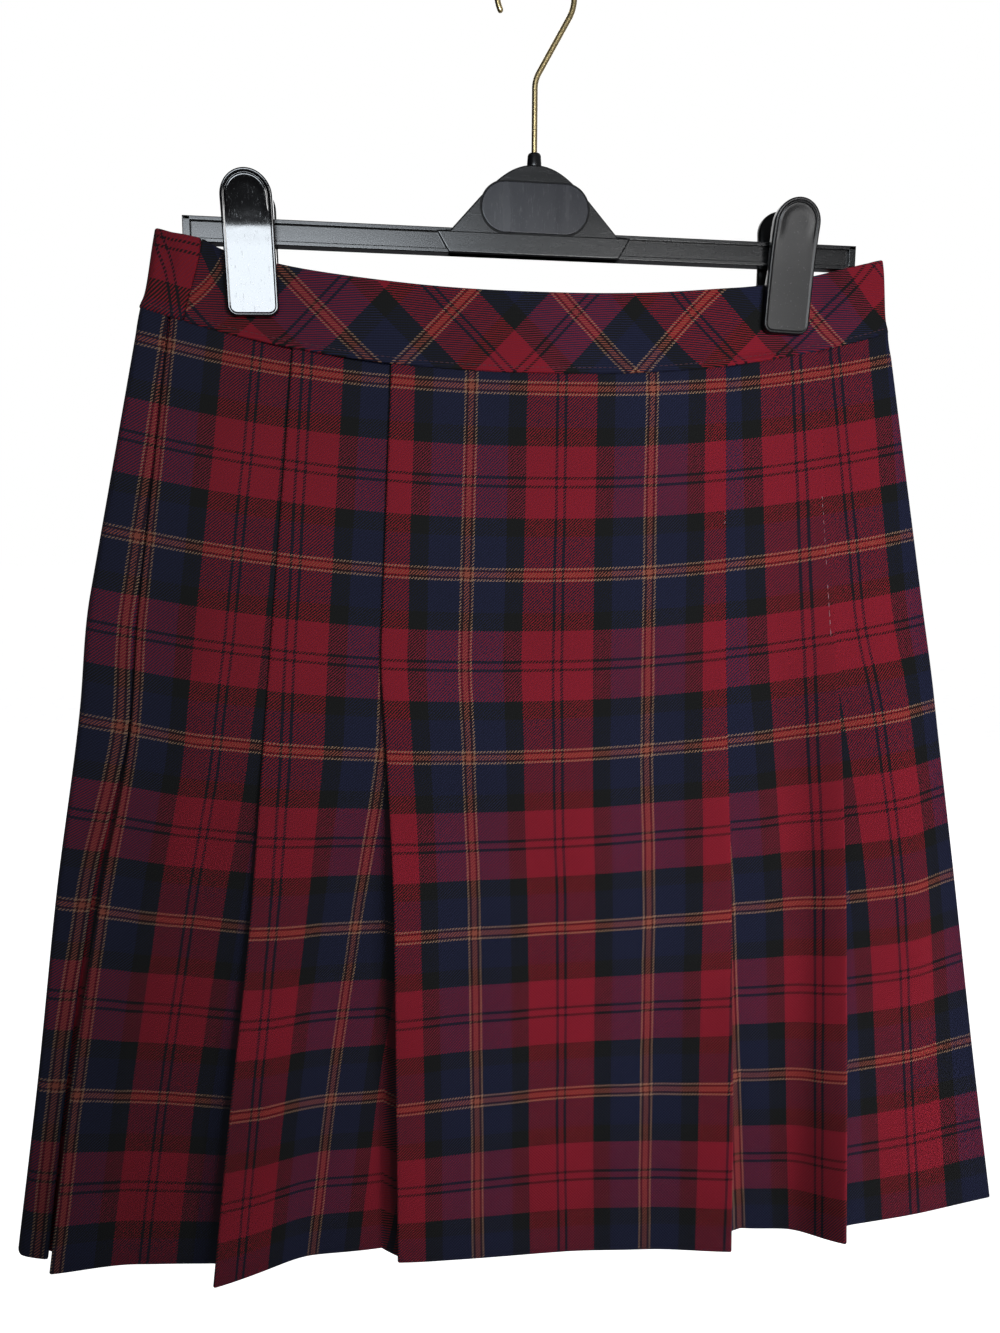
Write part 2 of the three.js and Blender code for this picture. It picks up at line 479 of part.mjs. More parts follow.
function hangerBar() {
  const bottom = BAR_TOP_Z - BAR_HEIGHT;
  const half = BAR_DEPTH / 2;
  const endWall = 4;
  let solid = toSolid(box(-BAR_HALF, BAR_HALF, -half, half, bottom, BAR_TOP_Z));
  for (const side of [-1, 1]) {
    for (const face of [-1, 1]) {
      const [x0, x1] = [CREST_HALF + endWall, BAR_HALF - endWall].map((x) => x * side).sort((a, b) => a - b);
      const [y0, y1] = [half - BAR_RECESS, half + 1].map((y) => y * face).sort((a, b) => a - b);
      solid = solid.subtract(toSolid(box(x0, x1, y0, y1, bottom + BAR_LEDGE, BAR_TOP_Z - BAR_LEDGE)));
    }
  }
  // the crest: straight flanks, then a round head under the neck
  const shoulder = CREST_HALF + 4;
  const flankZ = CREST_TOP_Z - FLANK.drop;
  const faceY = half + CREST_PROUD;
  const crest = new THREE.Shape();
  crest.moveTo(-shoulder, bottom);
  crest.lineTo(shoulder, bottom);
  crest.lineTo(shoulder, BAR_TOP_Z - 1.5);
  crest.lineTo(CREST_HALF, BAR_TOP_Z - 1);
  crest.lineTo(FLANK.x, flankZ);
  crest.bezierCurveTo(FLANK.x - 11, CREST_TOP_Z - 5, 10, CREST_TOP_Z, 0, CREST_TOP_Z);
  crest.bezierCurveTo(-10, CREST_TOP_Z, -FLANK.x + 11, CREST_TOP_Z - 5, -FLANK.x, flankZ);
  crest.lineTo(-CREST_HALF, BAR_TOP_Z - 1);
  crest.lineTo(-shoulder, BAR_TOP_Z - 1.5);
  solid = solid.add(toSolid(plateXZ(crest, -faceY, faceY)));
  // the neck, with a blind bore for the wire
  const neckHeight = NECK_TOP_Z - CREST_TOP_Z + 4;
  const neck = new THREE.CylinderGeometry(NECK_RADIUS - 0.8, NECK_RADIUS, neckHeight, 20);
  neck.rotateX(Math.PI / 2);
  neck.translate(0, 0, NECK_TOP_Z - neckHeight / 2);
  solid = solid.add(toSolid(neck));
  const boreTop = NECK_TOP_Z + 2;
  const boreDepth = boreTop - HOOK_FOOT_Z + SEAM_GAP;
  const bore = new THREE.CylinderGeometry(HOOK_WIRE / 2 + SEAM_GAP, HOOK_WIRE / 2 + SEAM_GAP, boreDepth, 20);
  bore.rotateX(Math.PI / 2);
  bore.translate(0, 0, boreTop - boreDepth / 2);
  solid = solid.subtract(toSolid(bore));
  // the pocket for the badge
  const r = BADGE_HEIGHT / 2 + SEAM_GAP;
  const pocket = roundedOutline(BADGE_WIDTH / 2 + SEAM_GAP, BADGE_Z + r, BADGE_Z - r, r, r);
  solid = solid.subtract(toSolid(plateXZ(pocket, -faceY - 1, -faceY + BADGE_POCKET)));
  return solidMesh('hanger_bar', solid, plastic);
}

function hangerBadge() {
  const r = BADGE_HEIGHT / 2;
  const outline = roundedOutline(BADGE_WIDTH / 2, BADGE_Z + r, BADGE_Z - r, r, r);
  const back = -BAR_DEPTH / 2 - CREST_PROUD + BADGE_POCKET - SEAM_GAP;
  const solid = toSolid(plateXZ(outline, back - BADGE_THICK, back));
  return solidMesh('hanger_badge', solid, badgePlastic);
}

function hangerHook() {
  const centre = new THREE.Vector2(0, HOOK_WIRE / 2 - HOOK_RADIUS);
  const drop = centre.y - HOOK_BEND_Z;
  const startAngle = -Math.PI / 2 + Math.acos(HOOK_RADIUS / drop);    // the slant meets the arc tangentially
  const onArc = (a) => new THREE.Vector3(HOOK_RADIUS * Math.cos(a), 0, centre.y + HOOK_RADIUS * Math.sin(a));
  const meet = onArc(startAngle);
  const bend = new THREE.Vector3(0, 0, HOOK_BEND_Z);
  const soften = 4;                                                   // the bend's easing on each side
  const slant = meet.clone().sub(bend).normalize();
  const below = bend.clone().add(new THREE.Vector3(0, 0, -soften));
  const beyond = bend.clone().addScaledVector(slant, soften);
  const path = new THREE.CurvePath();
  path.add(new THREE.LineCurve3(new THREE.Vector3(0, 0, HOOK_FOOT_Z), below));
  path.add(new THREE.QuadraticBezierCurve3(below, bend, beyond));
  path.add(new THREE.LineCurve3(beyond, meet));
  const arcSteps = 24;
  const endAngle = THREE.MathUtils.degToRad(HOOK_END_ANGLE);
  const arc = [];
  for (let k = 0; k <= arcSteps; k += 1) arc.push(onArc(startAngle + (endAngle - startAngle) * k / arcSteps));
  path.add(new THREE.CatmullRomCurve3(arc));
  const wire = new THREE.Shape();
  wire.absarc(0, 0, HOOK_WIRE / 2, 0, 2 * Math.PI);
  const geometry = new THREE.ExtrudeGeometry(wire, { steps: 48, curveSegments: 5, extrudePath: path });
  return solidMesh('hanger_hook', toSolid(geometry), brass);
}

// ---------------------------------------------------------------- clips

// Side profile of a clip's lever: Y away from the band (negative on the front lever) and Z.
const PAD = PINCH + BAND_WALL / 2 + SEAM_GAP;       // inner face of the pad on the pinched band
const LEVER_INNER = [[PAD, CLIP_BOTTOM_Z], [PAD, -160], [4.2, -155], [5.9, -150], [6.8, -131], [10.8, CLIP_TOP_Z]];
const LEVER_OUTER = [[13.6, CLIP_TOP_Z], [10.4, -128], [9.6, -150], [7.4, CLIP_BOTTOM_Z]];

function lever(face) {
  const profile = [...LEVER_INNER, ...LEVER_OUTER].map(([y, z]) => [face * y, z]);
  const half = CLIP_WIDTH / 2;
  const side = toSolid(plateYZ(face > 0 ? profile : profile.reverse(), -half, half));
  const outline = roundedOutline(half, CLIP_TOP_Z, CLIP_BOTTOM_Z, half - 0.01, 5);
  const front = toSolid(plateXZ(outline, -20, 20, 8));
  const [y0, y1] = [SEAM_GAP / 2, RIB.reach].map((y) => y * face).sort((a, b) => a - b);
  const rib = toSolid(box(-RIB.half, RIB.half, y0, y1, RIB.z0, RIB.z1));
  return side.intersect(front).add(rib);
}

// The steel strip that straddles the bar and presses the levers apart above it.
function spring() {
  const inner = SPRING_INNER;
  const outer = inner + SPRING_THICK;
  const top = BAR_TOP_Z + 0.5;
  const foot = SPRING_FOOT_Z;
  const points = [
    [-outer, foot], [-inner, foot], [-inner, top - 0.4], [-inner + 0.4, top],
    [inner - 0.4, top], [inner, top - 0.4], [inner, foot], [outer, foot],
    [outer, top], [inner, top + SPRING_THICK], [-inner, top + SPRING_THICK], [-outer, top],
  ];
  return toSolid(plateYZ(points, -SPRING_WIDTH / 2, SPRING_WIDTH / 2));
}

function clip(side) {
  const group = new THREE.Group();
  const tilt = new THREE.Group();
  group.position.set(CLIP_X[side], 0, 0);
  group.add(tilt);
  tilt.position.z = BAR_TOP_Z;
  tilt.rotation.y = -CLIP_TILT[side];
  const parts = [
    solidMesh(`clip_${side}_jaw_front`, lever(-1), glossPlastic),
    solidMesh(`clip_${side}_jaw_back`, lever(1), glossPlastic),
    solidMesh(`clip_${side}_spring`, spring(), steel),
  ];
  for (const mesh of parts) {
    mesh.position.z = -BAR_TOP_Z;
    tilt.add(mesh);
  }
  return group;
}

// ---------------------------------------------------------------- the whole part

const part = new THREE.Group();
part.add(
  clothWall('skirt_front', skirtRows(FRONT_CENTRE, FRONT_LEFT, FRONT_RIGHT, 1), CLOTH_WALL, wool),
  clothWall('skirt_back', skirtRows(BACK_CENTRE, BACK_LEFT, BACK_RIGHT, -1), CLOTH_WALL, wool),
  clothWall('waistband_front', bandRows(BAND_FRONT), BAND_WALL, bandWool),
  clothWall('waistband_back', bandRows(BAND_BACK), BAND_WALL, bandWool),
  hangerBar(),
  hangerBadge(),
  hangerHook(),
  clip('left'),
  clip('right'),
);

export default part;
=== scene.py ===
# A pleated tartan skirt pegged to its clip hanger: the looks of every piece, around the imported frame.
# Lengths are in millimetres until a mesh is made, and Blender's objects are in metres.

import math
import random

import bmesh
import bpy
import numpy as np
from mathutils import Matrix, Vector

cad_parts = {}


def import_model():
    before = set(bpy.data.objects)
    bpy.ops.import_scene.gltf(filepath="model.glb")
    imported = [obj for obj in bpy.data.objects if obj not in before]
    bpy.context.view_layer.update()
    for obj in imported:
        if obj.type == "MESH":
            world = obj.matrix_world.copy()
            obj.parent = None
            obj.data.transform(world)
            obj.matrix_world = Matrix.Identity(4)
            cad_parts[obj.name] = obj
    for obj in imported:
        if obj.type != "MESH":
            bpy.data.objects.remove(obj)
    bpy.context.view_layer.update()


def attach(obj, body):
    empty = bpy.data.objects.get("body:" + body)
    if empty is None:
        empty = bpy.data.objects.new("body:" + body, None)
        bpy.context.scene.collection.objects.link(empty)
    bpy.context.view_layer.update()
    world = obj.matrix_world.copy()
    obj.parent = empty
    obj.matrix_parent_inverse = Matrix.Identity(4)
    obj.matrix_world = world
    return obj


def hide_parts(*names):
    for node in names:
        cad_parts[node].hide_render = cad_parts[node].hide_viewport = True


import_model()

MM = 0.001
random.seed(11)

# ---------------------------------------------------------------- camera

CAMERA_PLACE = (-93.0, -543.8, -286.3)
CAMERA_YAW = 8.0            # degrees towards +X
CAMERA_PITCH = 8.0          # degrees down
CAMERA_ROLL = 0.3           # degrees, the picture's clockwise turn
CAMERA_LENS = 27.0          # on a 36 mm long side


def make_camera():
    data = bpy.data.cameras.new("camera")
    data.lens = CAMERA_LENS
    data.sensor_width = 36.0
    data.clip_start = 0.01
    camera = bpy.data.objects.new("camera", data)
    bpy.context.scene.collection.objects.link(camera)
    turn = (
        Matrix.Rotation(math.radians(-CAMERA_YAW), 4, "Z")
        @ Matrix.Rotation(math.radians(90 - CAMERA_PITCH), 4, "X")
        @ Matrix.Rotation(math.radians(CAMERA_ROLL), 4, "Z")
    )
    camera.matrix_world = Matrix.Translation(Vector(CAMERA_PLACE) * MM) @ turn
    bpy.context.scene.camera = camera


# ---------------------------------------------------------------- cloth: sizes and tables

CLOTH_THICK = 0.8           # the shell's thickness
LAYER_PITCH = 1.5           # from layer to layer inside a pressed pleat
SKIRT_DROP = 490.0
SIDE_EXTRA = 0.014
SEAM_GAP = 0.3
SEAM_Z_CENTRE = -206.0
SEAM_RISE = 28.0
SEAM_POWER = 2.2
HALF_WAIST = 200.0

BAND_THICK = 2.2
BAND_HEIGHT = 39.0

# Distances below the band seam at which the sections are named.
LEVELS = [0, 145, 204, 301, 399, 490]

# Each line of cloth: its x and y at LEVELS, and `warp`, the distance from the panel's middle
# along the flat cloth, which places the tartan. Hidden turns have a depth and an opening.
FRONT_CENTRE = {
    "left_quarter": dict(x=[-40, -40, -40, -40, -42, -42], y=[-11.3, -19.5, -26, -27.5, -30, -35]),
    "centre": dict(x=[14, 12, 12, 15, 16, 16], y=[-12.5, -18, -22, -23.5, -25, -35.5]),
    "right_quarter": dict(x=[62, 62, 62, 64, 64, 62], y=[-10.6, -17.5, -20, -25, -30, -42]),
}
FRONT_LEFT = {
    "fold1": dict(x=[-75, -82, -80, -77, -77, -77], y=[-9.5, -23, -30, -36, -37, -36],
        warp=[91, 91.5, 92, 93, 94, 94]),
    "under1": dict(depth=[29, 27, 22, 14, 7, 4], open=[0, 0, 0.5, 2, 2, 1]),
    "step1": dict(x=[-75, -82, -81, -82, -84, -86], y=[-6.5, -20, -25.5, -18.5, -21, -23],
        warp=[150, 148, 144, 128, 112, 101]),
    "mid2": dict(x=[-100, -110, -112, -116, -119, -124], y=[-5, -20, -27, -26, -28, -28]),
    "fold2": dict(x=[-125, -138, -143, -152, -164, -174], y=[-4.5, -21, -29, -35.5, -44, -52],
        warp=[202, 204, 205, 207, 209, 210]),
    "under2": dict(depth=[34, 32, 31, 27, 23, 22], open=[0, 0, 0.5, 2, 3, 4]),
    "step2": dict(x=[-125, -138, -143, -155, -167, -177], y=[-1.5, -18, -25, -25.5, -29, -33],
        warp=[271, 268, 264, 258, 253, 250]),
    "mid3": dict(x=[-155, -172, -180, -192, -207, -216], y=[-2.6, -16, -22, -20.5, -25, -34]),
    "fold3": dict(x=[-185, -204, -209, -229, -245.5, -256.5], y=[-3.8, -15, -21, -24, -33, -48],
        warp=[340, 341, 341, 342, 343, 343]),
    "under3": dict(depth=[24, 24, 23, 22, 22, 22], open=[0, 0, 1, 3, 4, 4]),
    "step3": dict(x=[-185, -204, -208, -228, -243, -256], y=[-0.8, -12, -16.2, -15, -21, -32],
        warp=[388, 389, 387, 386, 387, 387]),
    "tip": dict(x=[-195, -214, -222, -245, -261, -273], y=[-0.8, -11.7, -14.3, -12, -18, -26],
        warp=[398, 399, 400, 403, 405, 404]),
}
FRONT_RIGHT = {
    "fold1": dict(x=[105, 106, 107, 110, 110, 108], y=[-7.5, -19, -25, -33, -45, -57],
        warp=[90, 91, 92, 94, 97, 99]),
    "under1": dict(depth=[30, 29, 27, 25, 23, 22], open=[0, 0, 0.5, 2, 3, 4]),
    "step1": dict(x=[105, 106, 109, 117, 119, 121], y=[-4.5, -16, -21, -23, -31, -38],
        warp=[157, 155, 153, 150, 148, 146]),
    "mid2": dict(x=[130, 137, 139, 142, 143, 144], y=[-4.2, -16, -22.5, -28.5, -40, -47]),
    "fold2": dict(x=[158, 168, 169, 171, 170, 168], y=[-3.9, -20, -32, -45, -59, -72],
        warp=[205, 206, 207, 208, 210, 211]),
    "under2": dict(depth=[34, 33, 31, 27, 23, 21], open=[0, 0, 0.5, 2, 3, 4]),
    "step2": dict(x=[158, 168, 172, 179, 181, 180], y=[-0.9, -17, -28, -37, -45, -56],
        warp=[280, 276, 271, 264, 259, 255]),
    "mid3": dict(x=[178, 196, 199, 210, 218, 222], y=[-2.6, -18, -32, -41, -46, -58]),
    "fold3": dict(x=[199.5, 222, 227, 240, 252, 261.5], y=[-3.2, -15, -27, -36, -46, -60],
        warp=[321, 330, 330, 331, 333, 336]),
    "tip": dict(x=[191, 213, 217, 229, 240, 249], y=[-0.9, -12.7, -20.5, -26, -34, -45],
        warp=[330, 340, 342, 347, 351, 356]),
}
BACK_CENTRE = {
    "left_quarter": dict(x=[-60, -60, -60, -60, -60, -60], y=[9, 14.4, 16.3, 19.4, 21.3, 25]),
    "centre": dict(x=[-14, -12, -12, -12, -12, -12], y=[9.8, 15, 17, 19, 21, 24]),
    "right_quarter": dict(x=[34, 36, 38, 38, 40, 42], y=[9, 14.4, 16.3, 19.4, 21.3, 25]),
}
BACK_LEFT = {
    "fold1": dict(x=[-105, -109, -110, -111, -112, -113], y=[7.5, 13, 15, 20, 22, 27],
        warp=[92, 96, 97, 98, 99, 100]),
    "under1": dict(depth=[30, 30, 28, 24, 20, 17], open=[0, 0, 0.5, 2, 3, 4]),
    "step1": dict(x=[-105, -109, -110, -113, -116, -119], y=[4.5, 10, 12, 10, 10, 12],
        warp=[148, 144, 143, 140, 136, 130]),
    "mid2": dict(x=[-130, -143, -147, -150, -155, -160], y=[4.5, 9.5, 11.5, 13, 14, 17]),
    "fold2": dict(x=[-156, -178, -184, -192, -200, -208], y=[4.5, 10, 13, 19, 22, 28],
        warp=[199, 213, 217, 220, 221, 221]),
    "under2": dict(depth=[30, 30, 29, 25, 22, 20], open=[0, 0, 0.5, 2, 3, 4]),
    "step2": dict(x=[-156, -178, -184, -194, -203, -211], y=[1.5, 7, 10, 8, 9, 12],
        warp=[279, 260, 262, 263, 259, 246]),
    "mid3": dict(x=[-180, -206, -212, -226, -237, -248], y=[3.4, 6, 6.5, 4, 2, 2]),
    "bend_a": dict(x=[-198, -225, -231, -247, -259, -272], y=[2.8, 1, -3, -7, -11, -15]),
    "bend_b": dict(x=[-200, -229, -236, -252, -265, -278], y=[0, -8, -12, -15, -20, -26]),
    "bend_c": dict(x=[-197.6, -226, -233, -249, -262, -275], y=[-3.2, -14, -18, -19.5, -26, -34]),
    "fold3": dict(x=[-186.9, -205.9, -211.5, -235, -250.5, -261.5], y=[-3.9, -15.1, -19, -18, -25, -37],
        warp=[338, 344, 343.5, 343.5, 344.5, 345]),
    "tip": dict(x=[-194, -213, -221, -244, -260, -272], y=[-2.2, -13.2, -15.9, -14, -20.3, -29.5],
        warp=[348, 353, 352, 353, 354, 356]),
}
BACK_RIGHT = {
    "fold1": dict(x=[77, 84, 87, 90, 93, 96], y=[7.5, 13, 15, 20, 22, 27],
        warp=[91, 96, 98, 101, 104, 106]),
    "under1": dict(depth=[30, 30, 28, 24, 20, 17], open=[0, 0, 0.5, 2, 3, 4]),
    "step1": dict(x=[77, 84, 87, 92, 96, 101], y=[4.5, 10, 12, 10, 10, 12],
        warp=[149, 147, 146, 142, 138, 132]),
    "mid2": dict(x=[104, 116, 122, 130, 137, 145], y=[4.4, 9.5, 11.5, 13, 14, 17]),
    "fold2": dict(x=[132, 149, 157, 168, 178, 190], y=[4.3, 10, 13, 19, 22, 28],
        warp=[204, 212, 216, 219, 221, 223]),
    "under2": dict(depth=[30, 30, 29, 25, 22, 20], open=[0, 0, 0.5, 2, 3, 4]),
    "step2": dict(x=[132, 149, 157, 170, 181, 193], y=[1.3, 7, 10, 8, 9, 12],
        warp=[268, 266, 264, 262, 258, 252]),
    "mid3": dict(x=[165, 188, 195, 211, 223, 235], y=[2.2, 4, 3, 0, -4, -6]),
    "fold3": dict(x=[199.5, 222.5, 228, 242, 254, 263.5], y=[2.8, -9.2, -15.5, -19, -27, -38],
        warp=[336, 342, 341, 340, 341, 341]),
    "tip": dict(x=[191, 213, 217, 229, 240, 249], y=[0.4, -11.4, -19.2, -24.7, -32.7, -43.7],
        warp=[345, 352, 353, 355, 357, 358]),
}

# ---------------------------------------------------------------- cloth: lines and sections


def along(levels, values, v, straight_first=False):
    """A smooth value at v through the rows of a table: cubic, and never past the values it joins."""
    last = len(levels) - 1
    i = 0
    while i < last - 1 and v > levels[i + 1]:
        i += 1

    def secant(k):
        return (values[k + 1] - values[k]) / (levels[k + 1] - levels[k])

    def slope(k):
        if k == 0 or (straight_first and k == 1):
            return secant(0)
        if k == last:
            return secant(last - 1)
        a, b = secant(k - 1), secant(k)
        return 0.0 if a * b <= 0 else 2 * a * b / (a + b)

    span = levels[i + 1] - levels[i]
    t = (v - levels[i]) / span
    return ((1 + 2 * t) * (1 - t) ** 2 * values[i] + t * (1 - t) ** 2 * span * slope(i)
            + t * t * (3 - 2 * t) * values[i + 1] + t * t * (t - 1) * span * slope(i + 1))


def value_at(values, v):
    return along(LEVELS, values, v, True)


def line_at(line, v):
    return np.array([value_at(line["x"], v), value_at(line["y"], v)])


def smooth_line(points, steps):
    """A smooth plan line through the named points, with `steps` pieces from each to the next."""
    index = list(range(len(points)))
    xs = [p[0] for p in points]
    ys = [p[1] for p in points]
    count = steps * (len(points) - 1)
    return [np.array([along(index, xs, k / steps), along(index, ys, k / steps)]) for k in range(count + 1)]


def seam_z(x):
    return SEAM_Z_CENTRE + SEAM_RISE * (np.abs(x) / HALF_WAIST) ** SEAM_POWER


def unit(v):
    return v / np.linalg.norm(v)


def lengths_along(points):
    """How far along a line of points each of them lies."""
    return np.concatenate([[0], np.cumsum(np.linalg.norm(np.diff(points, axis=0), axis=1))])


def side_of(run, hand):
    return hand * np.array([-run[1], run[0]])


PANEL_STEPS = 13            # pieces from each named line of a panel to the next
UNDER_STEPS = 6             # pieces between the two turns of a hidden layer
TURN_STEPS = 6              # pieces round a pressed fold
SKIRT_ROWS = 110


def beside_line(points, back, away, hand):
    """The place on a line at a distance back from its end, moved out along its normal."""
    i = len(points) - 1
    left = back
    length = np.linalg.norm(points[i] - points[i - 1])
    while i > 1 and left > length:
        left -= length
        i -= 1
        length = np.linalg.norm(points[i] - points[i - 1])
    run = (points[i] - points[i - 1]) / length
    return points[i] - run * left + side_of(run, hand) * away


def turn(path, edge, run, hand):
    """A pressed fold: half a circle, from the layer that comes along `run` to the one beside it."""
    r = LAYER_PITCH / 2
    side = side_of(run, hand)
    centre = edge - run * r + side * r
    for k in range(TURN_STEPS + 1):
        a = math.pi * k / TURN_STEPS
        path.append(centre - side * r * math.cos(a) + run * r * math.sin(a))


def pleat(path, marks, panel, under, end, v, hand, names):
    """The panel that ends in a fold, the fold, and the layers under it as far as `end`."""
    edge = panel[-1]
    path.extend(panel[1:-1])
    run = unit(edge - panel[-2])
    turn(path, edge, run, hand)
    marks.append((len(path) - 1 - TURN_STEPS // 2, names[0]))
    if under is None:
        path.append(end)
        marks.append((len(path) - 1, names[1]))
        return
    depth, opening = value_at(under["depth"], v), value_at(under["open"], v)

    def layer(f, layers):
        return beside_line(panel, f * depth, layers * LAYER_PITCH + f * opening, hand)

    for k in range(1, UNDER_STEPS):
        path.append(layer(k / UNDER_STEPS, 1))
    turn(path, layer(1, 1), unit(layer(1, 1) - layer(0.8, 1)), -hand)
    shift = end - layer(0, 2)
    for k in range(UNDER_STEPS - 1, 0, -1):
        f = k / UNDER_STEPS
        path.append(layer(f, 2) + shift * (1 - f))
    path.append(end)
    marks.append((len(path) - 1, names[1]))


def half_section(centre_line, table, v, hand):
    """Half of a wall's section, outwards from the centre, and the places in it with a known warp."""
    p = {name: line_at(line, v) for name, line in table.items() if "x" in line}
    path, marks = [], []
    pleat(path, marks, centre_line + [p["fold1"]], table["under1"], p["step1"], v, hand, ("fold1", "step1"))
    panel2 = smooth_line([p["step1"], p["mid2"], p["fold2"]], PANEL_STEPS)
    pleat(path, marks, panel2, table["under2"], p["step2"], v, hand, ("fold2", "step2"))
    bend = [name for name in ("bend_a", "bend_b", "bend_c") if name in table]
    panel3 = smooth_line([p[name] for name in ("step2", "mid3", *bend, "fold3")], PANEL_STEPS)
    if "under3" in table:
        pleat(path, marks, panel3, table["under3"], p["step3"], v, hand, ("fold3", "step3"))
        path.extend(smooth_line([p["step3"], p["tip"]], PANEL_STEPS // 2)[1:])
        marks.append((len(path) - 1, "tip"))
    else:
        pleat(path, marks, panel3, None, p["tip"], v, hand, ("fold3", "tip"))
    return path, marks


def warp_values(path, start, marks, table, v):
    """The warp place of every point: known at the marks, and by length along the cloth between them."""
    lengths = lengths_along(np.array([start] + path))
    known_at = [0.0] + [lengths[i + 1] for i, _ in marks]
    known = [0.0] + [value_at(table[name]["warp"], v) for _, name in marks]
    return np.interp(lengths, known_at, known)[1:]


def whole_section(centre, left, right, v, hand):
    """A row of the wall: its plan points and the signed warp place of each."""
    names = ("left_quarter", "centre", "right_quarter")
    lines = [left["fold1"], *(centre[name] for name in names), right["fold1"]]
    across = smooth_line([line_at(line, v) for line in lines], PANEL_STEPS)
    middle = 2 * PANEL_STEPS
    to_left = across[1:middle + 1][::-1]
    to_right = across[middle:-1]
    left_half, left_marks = half_section(to_left, left, v, -hand)
    right_half, right_marks = half_section(to_right, right, v, hand)
    left_warp = warp_values(left_half, to_left[0], left_marks, left, v)
    right_warp = warp_values(right_half, to_right[0], right_marks, right, v)
    plan = left_half[::-1] + [to_right[0]] + right_half
    warp = np.concatenate([-left_warp[::-1], [0.0], right_warp])
    return np.array(plan), warp


def skirt_rows(centre, left, right, hand):
    """Every row of a skirt wall: points (rows, columns, 3), warp places and heights above the hem."""
    drops = np.linspace(0, SKIRT_DROP, SKIRT_ROWS)
    points, warps, wefts = [], [], []
    stretch = None
    for k, v in enumerate(drops):
        plan, warp = whole_section(centre, left, right, v, hand)
        if k == 0:
            z = seam_z(plan[:, 0]) - SEAM_GAP
            stretch = 1 + SIDE_EXTRA * (plan[:, 0] / HALF_WAIST) ** 2
        else:
            length = (v - drops[k - 1]) * stretch
            sideways = np.linalg.norm(plan - points[-1][:, :2], axis=1)
            down = np.sqrt(np.maximum(length ** 2 - sideways ** 2, (0.9 * length) ** 2))
            z = points[-1][:, 2] - down
        points.append(np.column_stack([plan, z]))
        warps.append(warp)
        wefts.append((SKIRT_DROP - v) * stretch)
    return np.array(points), np.array(warps), np.array(wefts)


# ---------------------------------------------------------------- cloth: shells


def grid_normals(points):
    """Unit normals of a grid of points (rows, columns, 3)."""
    down = np.gradient(points, axis=0)
    across = np.gradient(points, axis=1)
    normals = np.cross(across, down)
    return normals / np.linalg.norm(normals, axis=2, keepdims=True)


def shell_mesh(name, points, normals, thickness, cloth, material, rim=2):
    """A closed shell of cloth on a grid: both faces and a rounded rim. `cloth` holds the tartan's
    coordinates of each point, which both faces share."""
    rows, columns = points.shape[:2]
    half = thickness / 2
    front = points + normals * half
    back = points - normals * half
    verts = np.concatenate([front.reshape(-1, 3), back.reshape(-1, 3)])
    coords = np.concatenate([cloth.reshape(-1, 3), cloth.reshape(-1, 3)])
    count = rows * columns
    grid = np.arange(count).reshape(rows, columns)
    quads = np.stack([grid[:-1, :-1], grid[1:, :-1], grid[1:, 1:], grid[:-1, 1:]], axis=-1).reshape(-1, 4)
    faces = quads.tolist() + (quads[:, ::-1] + count).tolist()
    loop = np.concatenate([grid[0, :-1], grid[:-1, -1], grid[-1, :0:-1], grid[:0:-1, 0]])
    outward = rim_directions(points)[loop // columns, loop % columns]
    reach = rim_reach(points, cloth)[loop // columns, loop % columns]
    ring = loop
    extra_verts, extra_coords = [], []
    for k in range(1, rim + 1):
        a = math.pi * k / (rim + 1)
        place = points.reshape(-1, 3)[loop] + half * (
            math.cos(a) * normals.reshape(-1, 3)[loop] + math.sin(a) * outward)
        first = len(verts) + sum(len(e) for e in extra_verts)
        extra_verts.append(place)
        extra_coords.append(cloth.reshape(-1, 3)[loop] + half * math.sin(a) * reach)
        new_ring = np.arange(first, first + len(loop))
        faces += join_rings(ring, new_ring)
        ring = new_ring
    faces += join_rings(ring, loop + count)
    verts = np.concatenate([verts] + extra_verts)
    coords = np.concatenate([coords] + extra_coords)
    return make_mesh(name, verts, faces, material, cloth=coords)


def join_rings(a, b):
    n = len(a)
    return [[int(a[k]), int(a[(k + 1) % n]), int(b[(k + 1) % n]), int(b[k])] for k in range(n)]


def stacked_faces(sides, rings, first=0):
    """The faces between rings of `sides` vertices in a row, and one over each end."""
    faces = []
    for k in range(rings - 1):
        a = first + k * sides
        faces += join_rings(range(a, a + sides), range(a + sides, a + 2 * sides))
    last = first + (rings - 1) * sides
    return faces + [list(range(first, first + sides))[::-1], list(range(last, last + sides))]


def rim_directions(points):
    """At each border point, the direction in the cloth that leads out over the border."""
    out = np.zeros_like(points)
    out[0] += unit_rows(points[0] - points[1])
    out[-1] += unit_rows(points[-1] - points[-2])
    out[:, 0] += unit_rows(points[:, 0] - points[:, 1])
    out[:, -1] += unit_rows(points[:, -1] - points[:, -2])
    size = np.linalg.norm(out, axis=2, keepdims=True)
    return out / np.maximum(size, 1e-9)


def rim_reach(points, cloth):
    """How the tartan's coordinates run on past each border point, for a millimetre."""
    reach = np.zeros_like(cloth)
    whole = slice(None)
    for border, inner in (((0,), (1,)), ((-1,), (-2,)), ((whole, 0), (whole, 1)), ((whole, -1), (whole, -2))):
        step = np.linalg.norm(points[border] - points[inner], axis=-1, keepdims=True)
        reach[border] += (cloth[border] - cloth[inner]) / np.maximum(step, 1e-6)
    return reach


def unit_rows(v):
    return v / np.maximum(np.linalg.norm(v, axis=-1, keepdims=True), 1e-9)


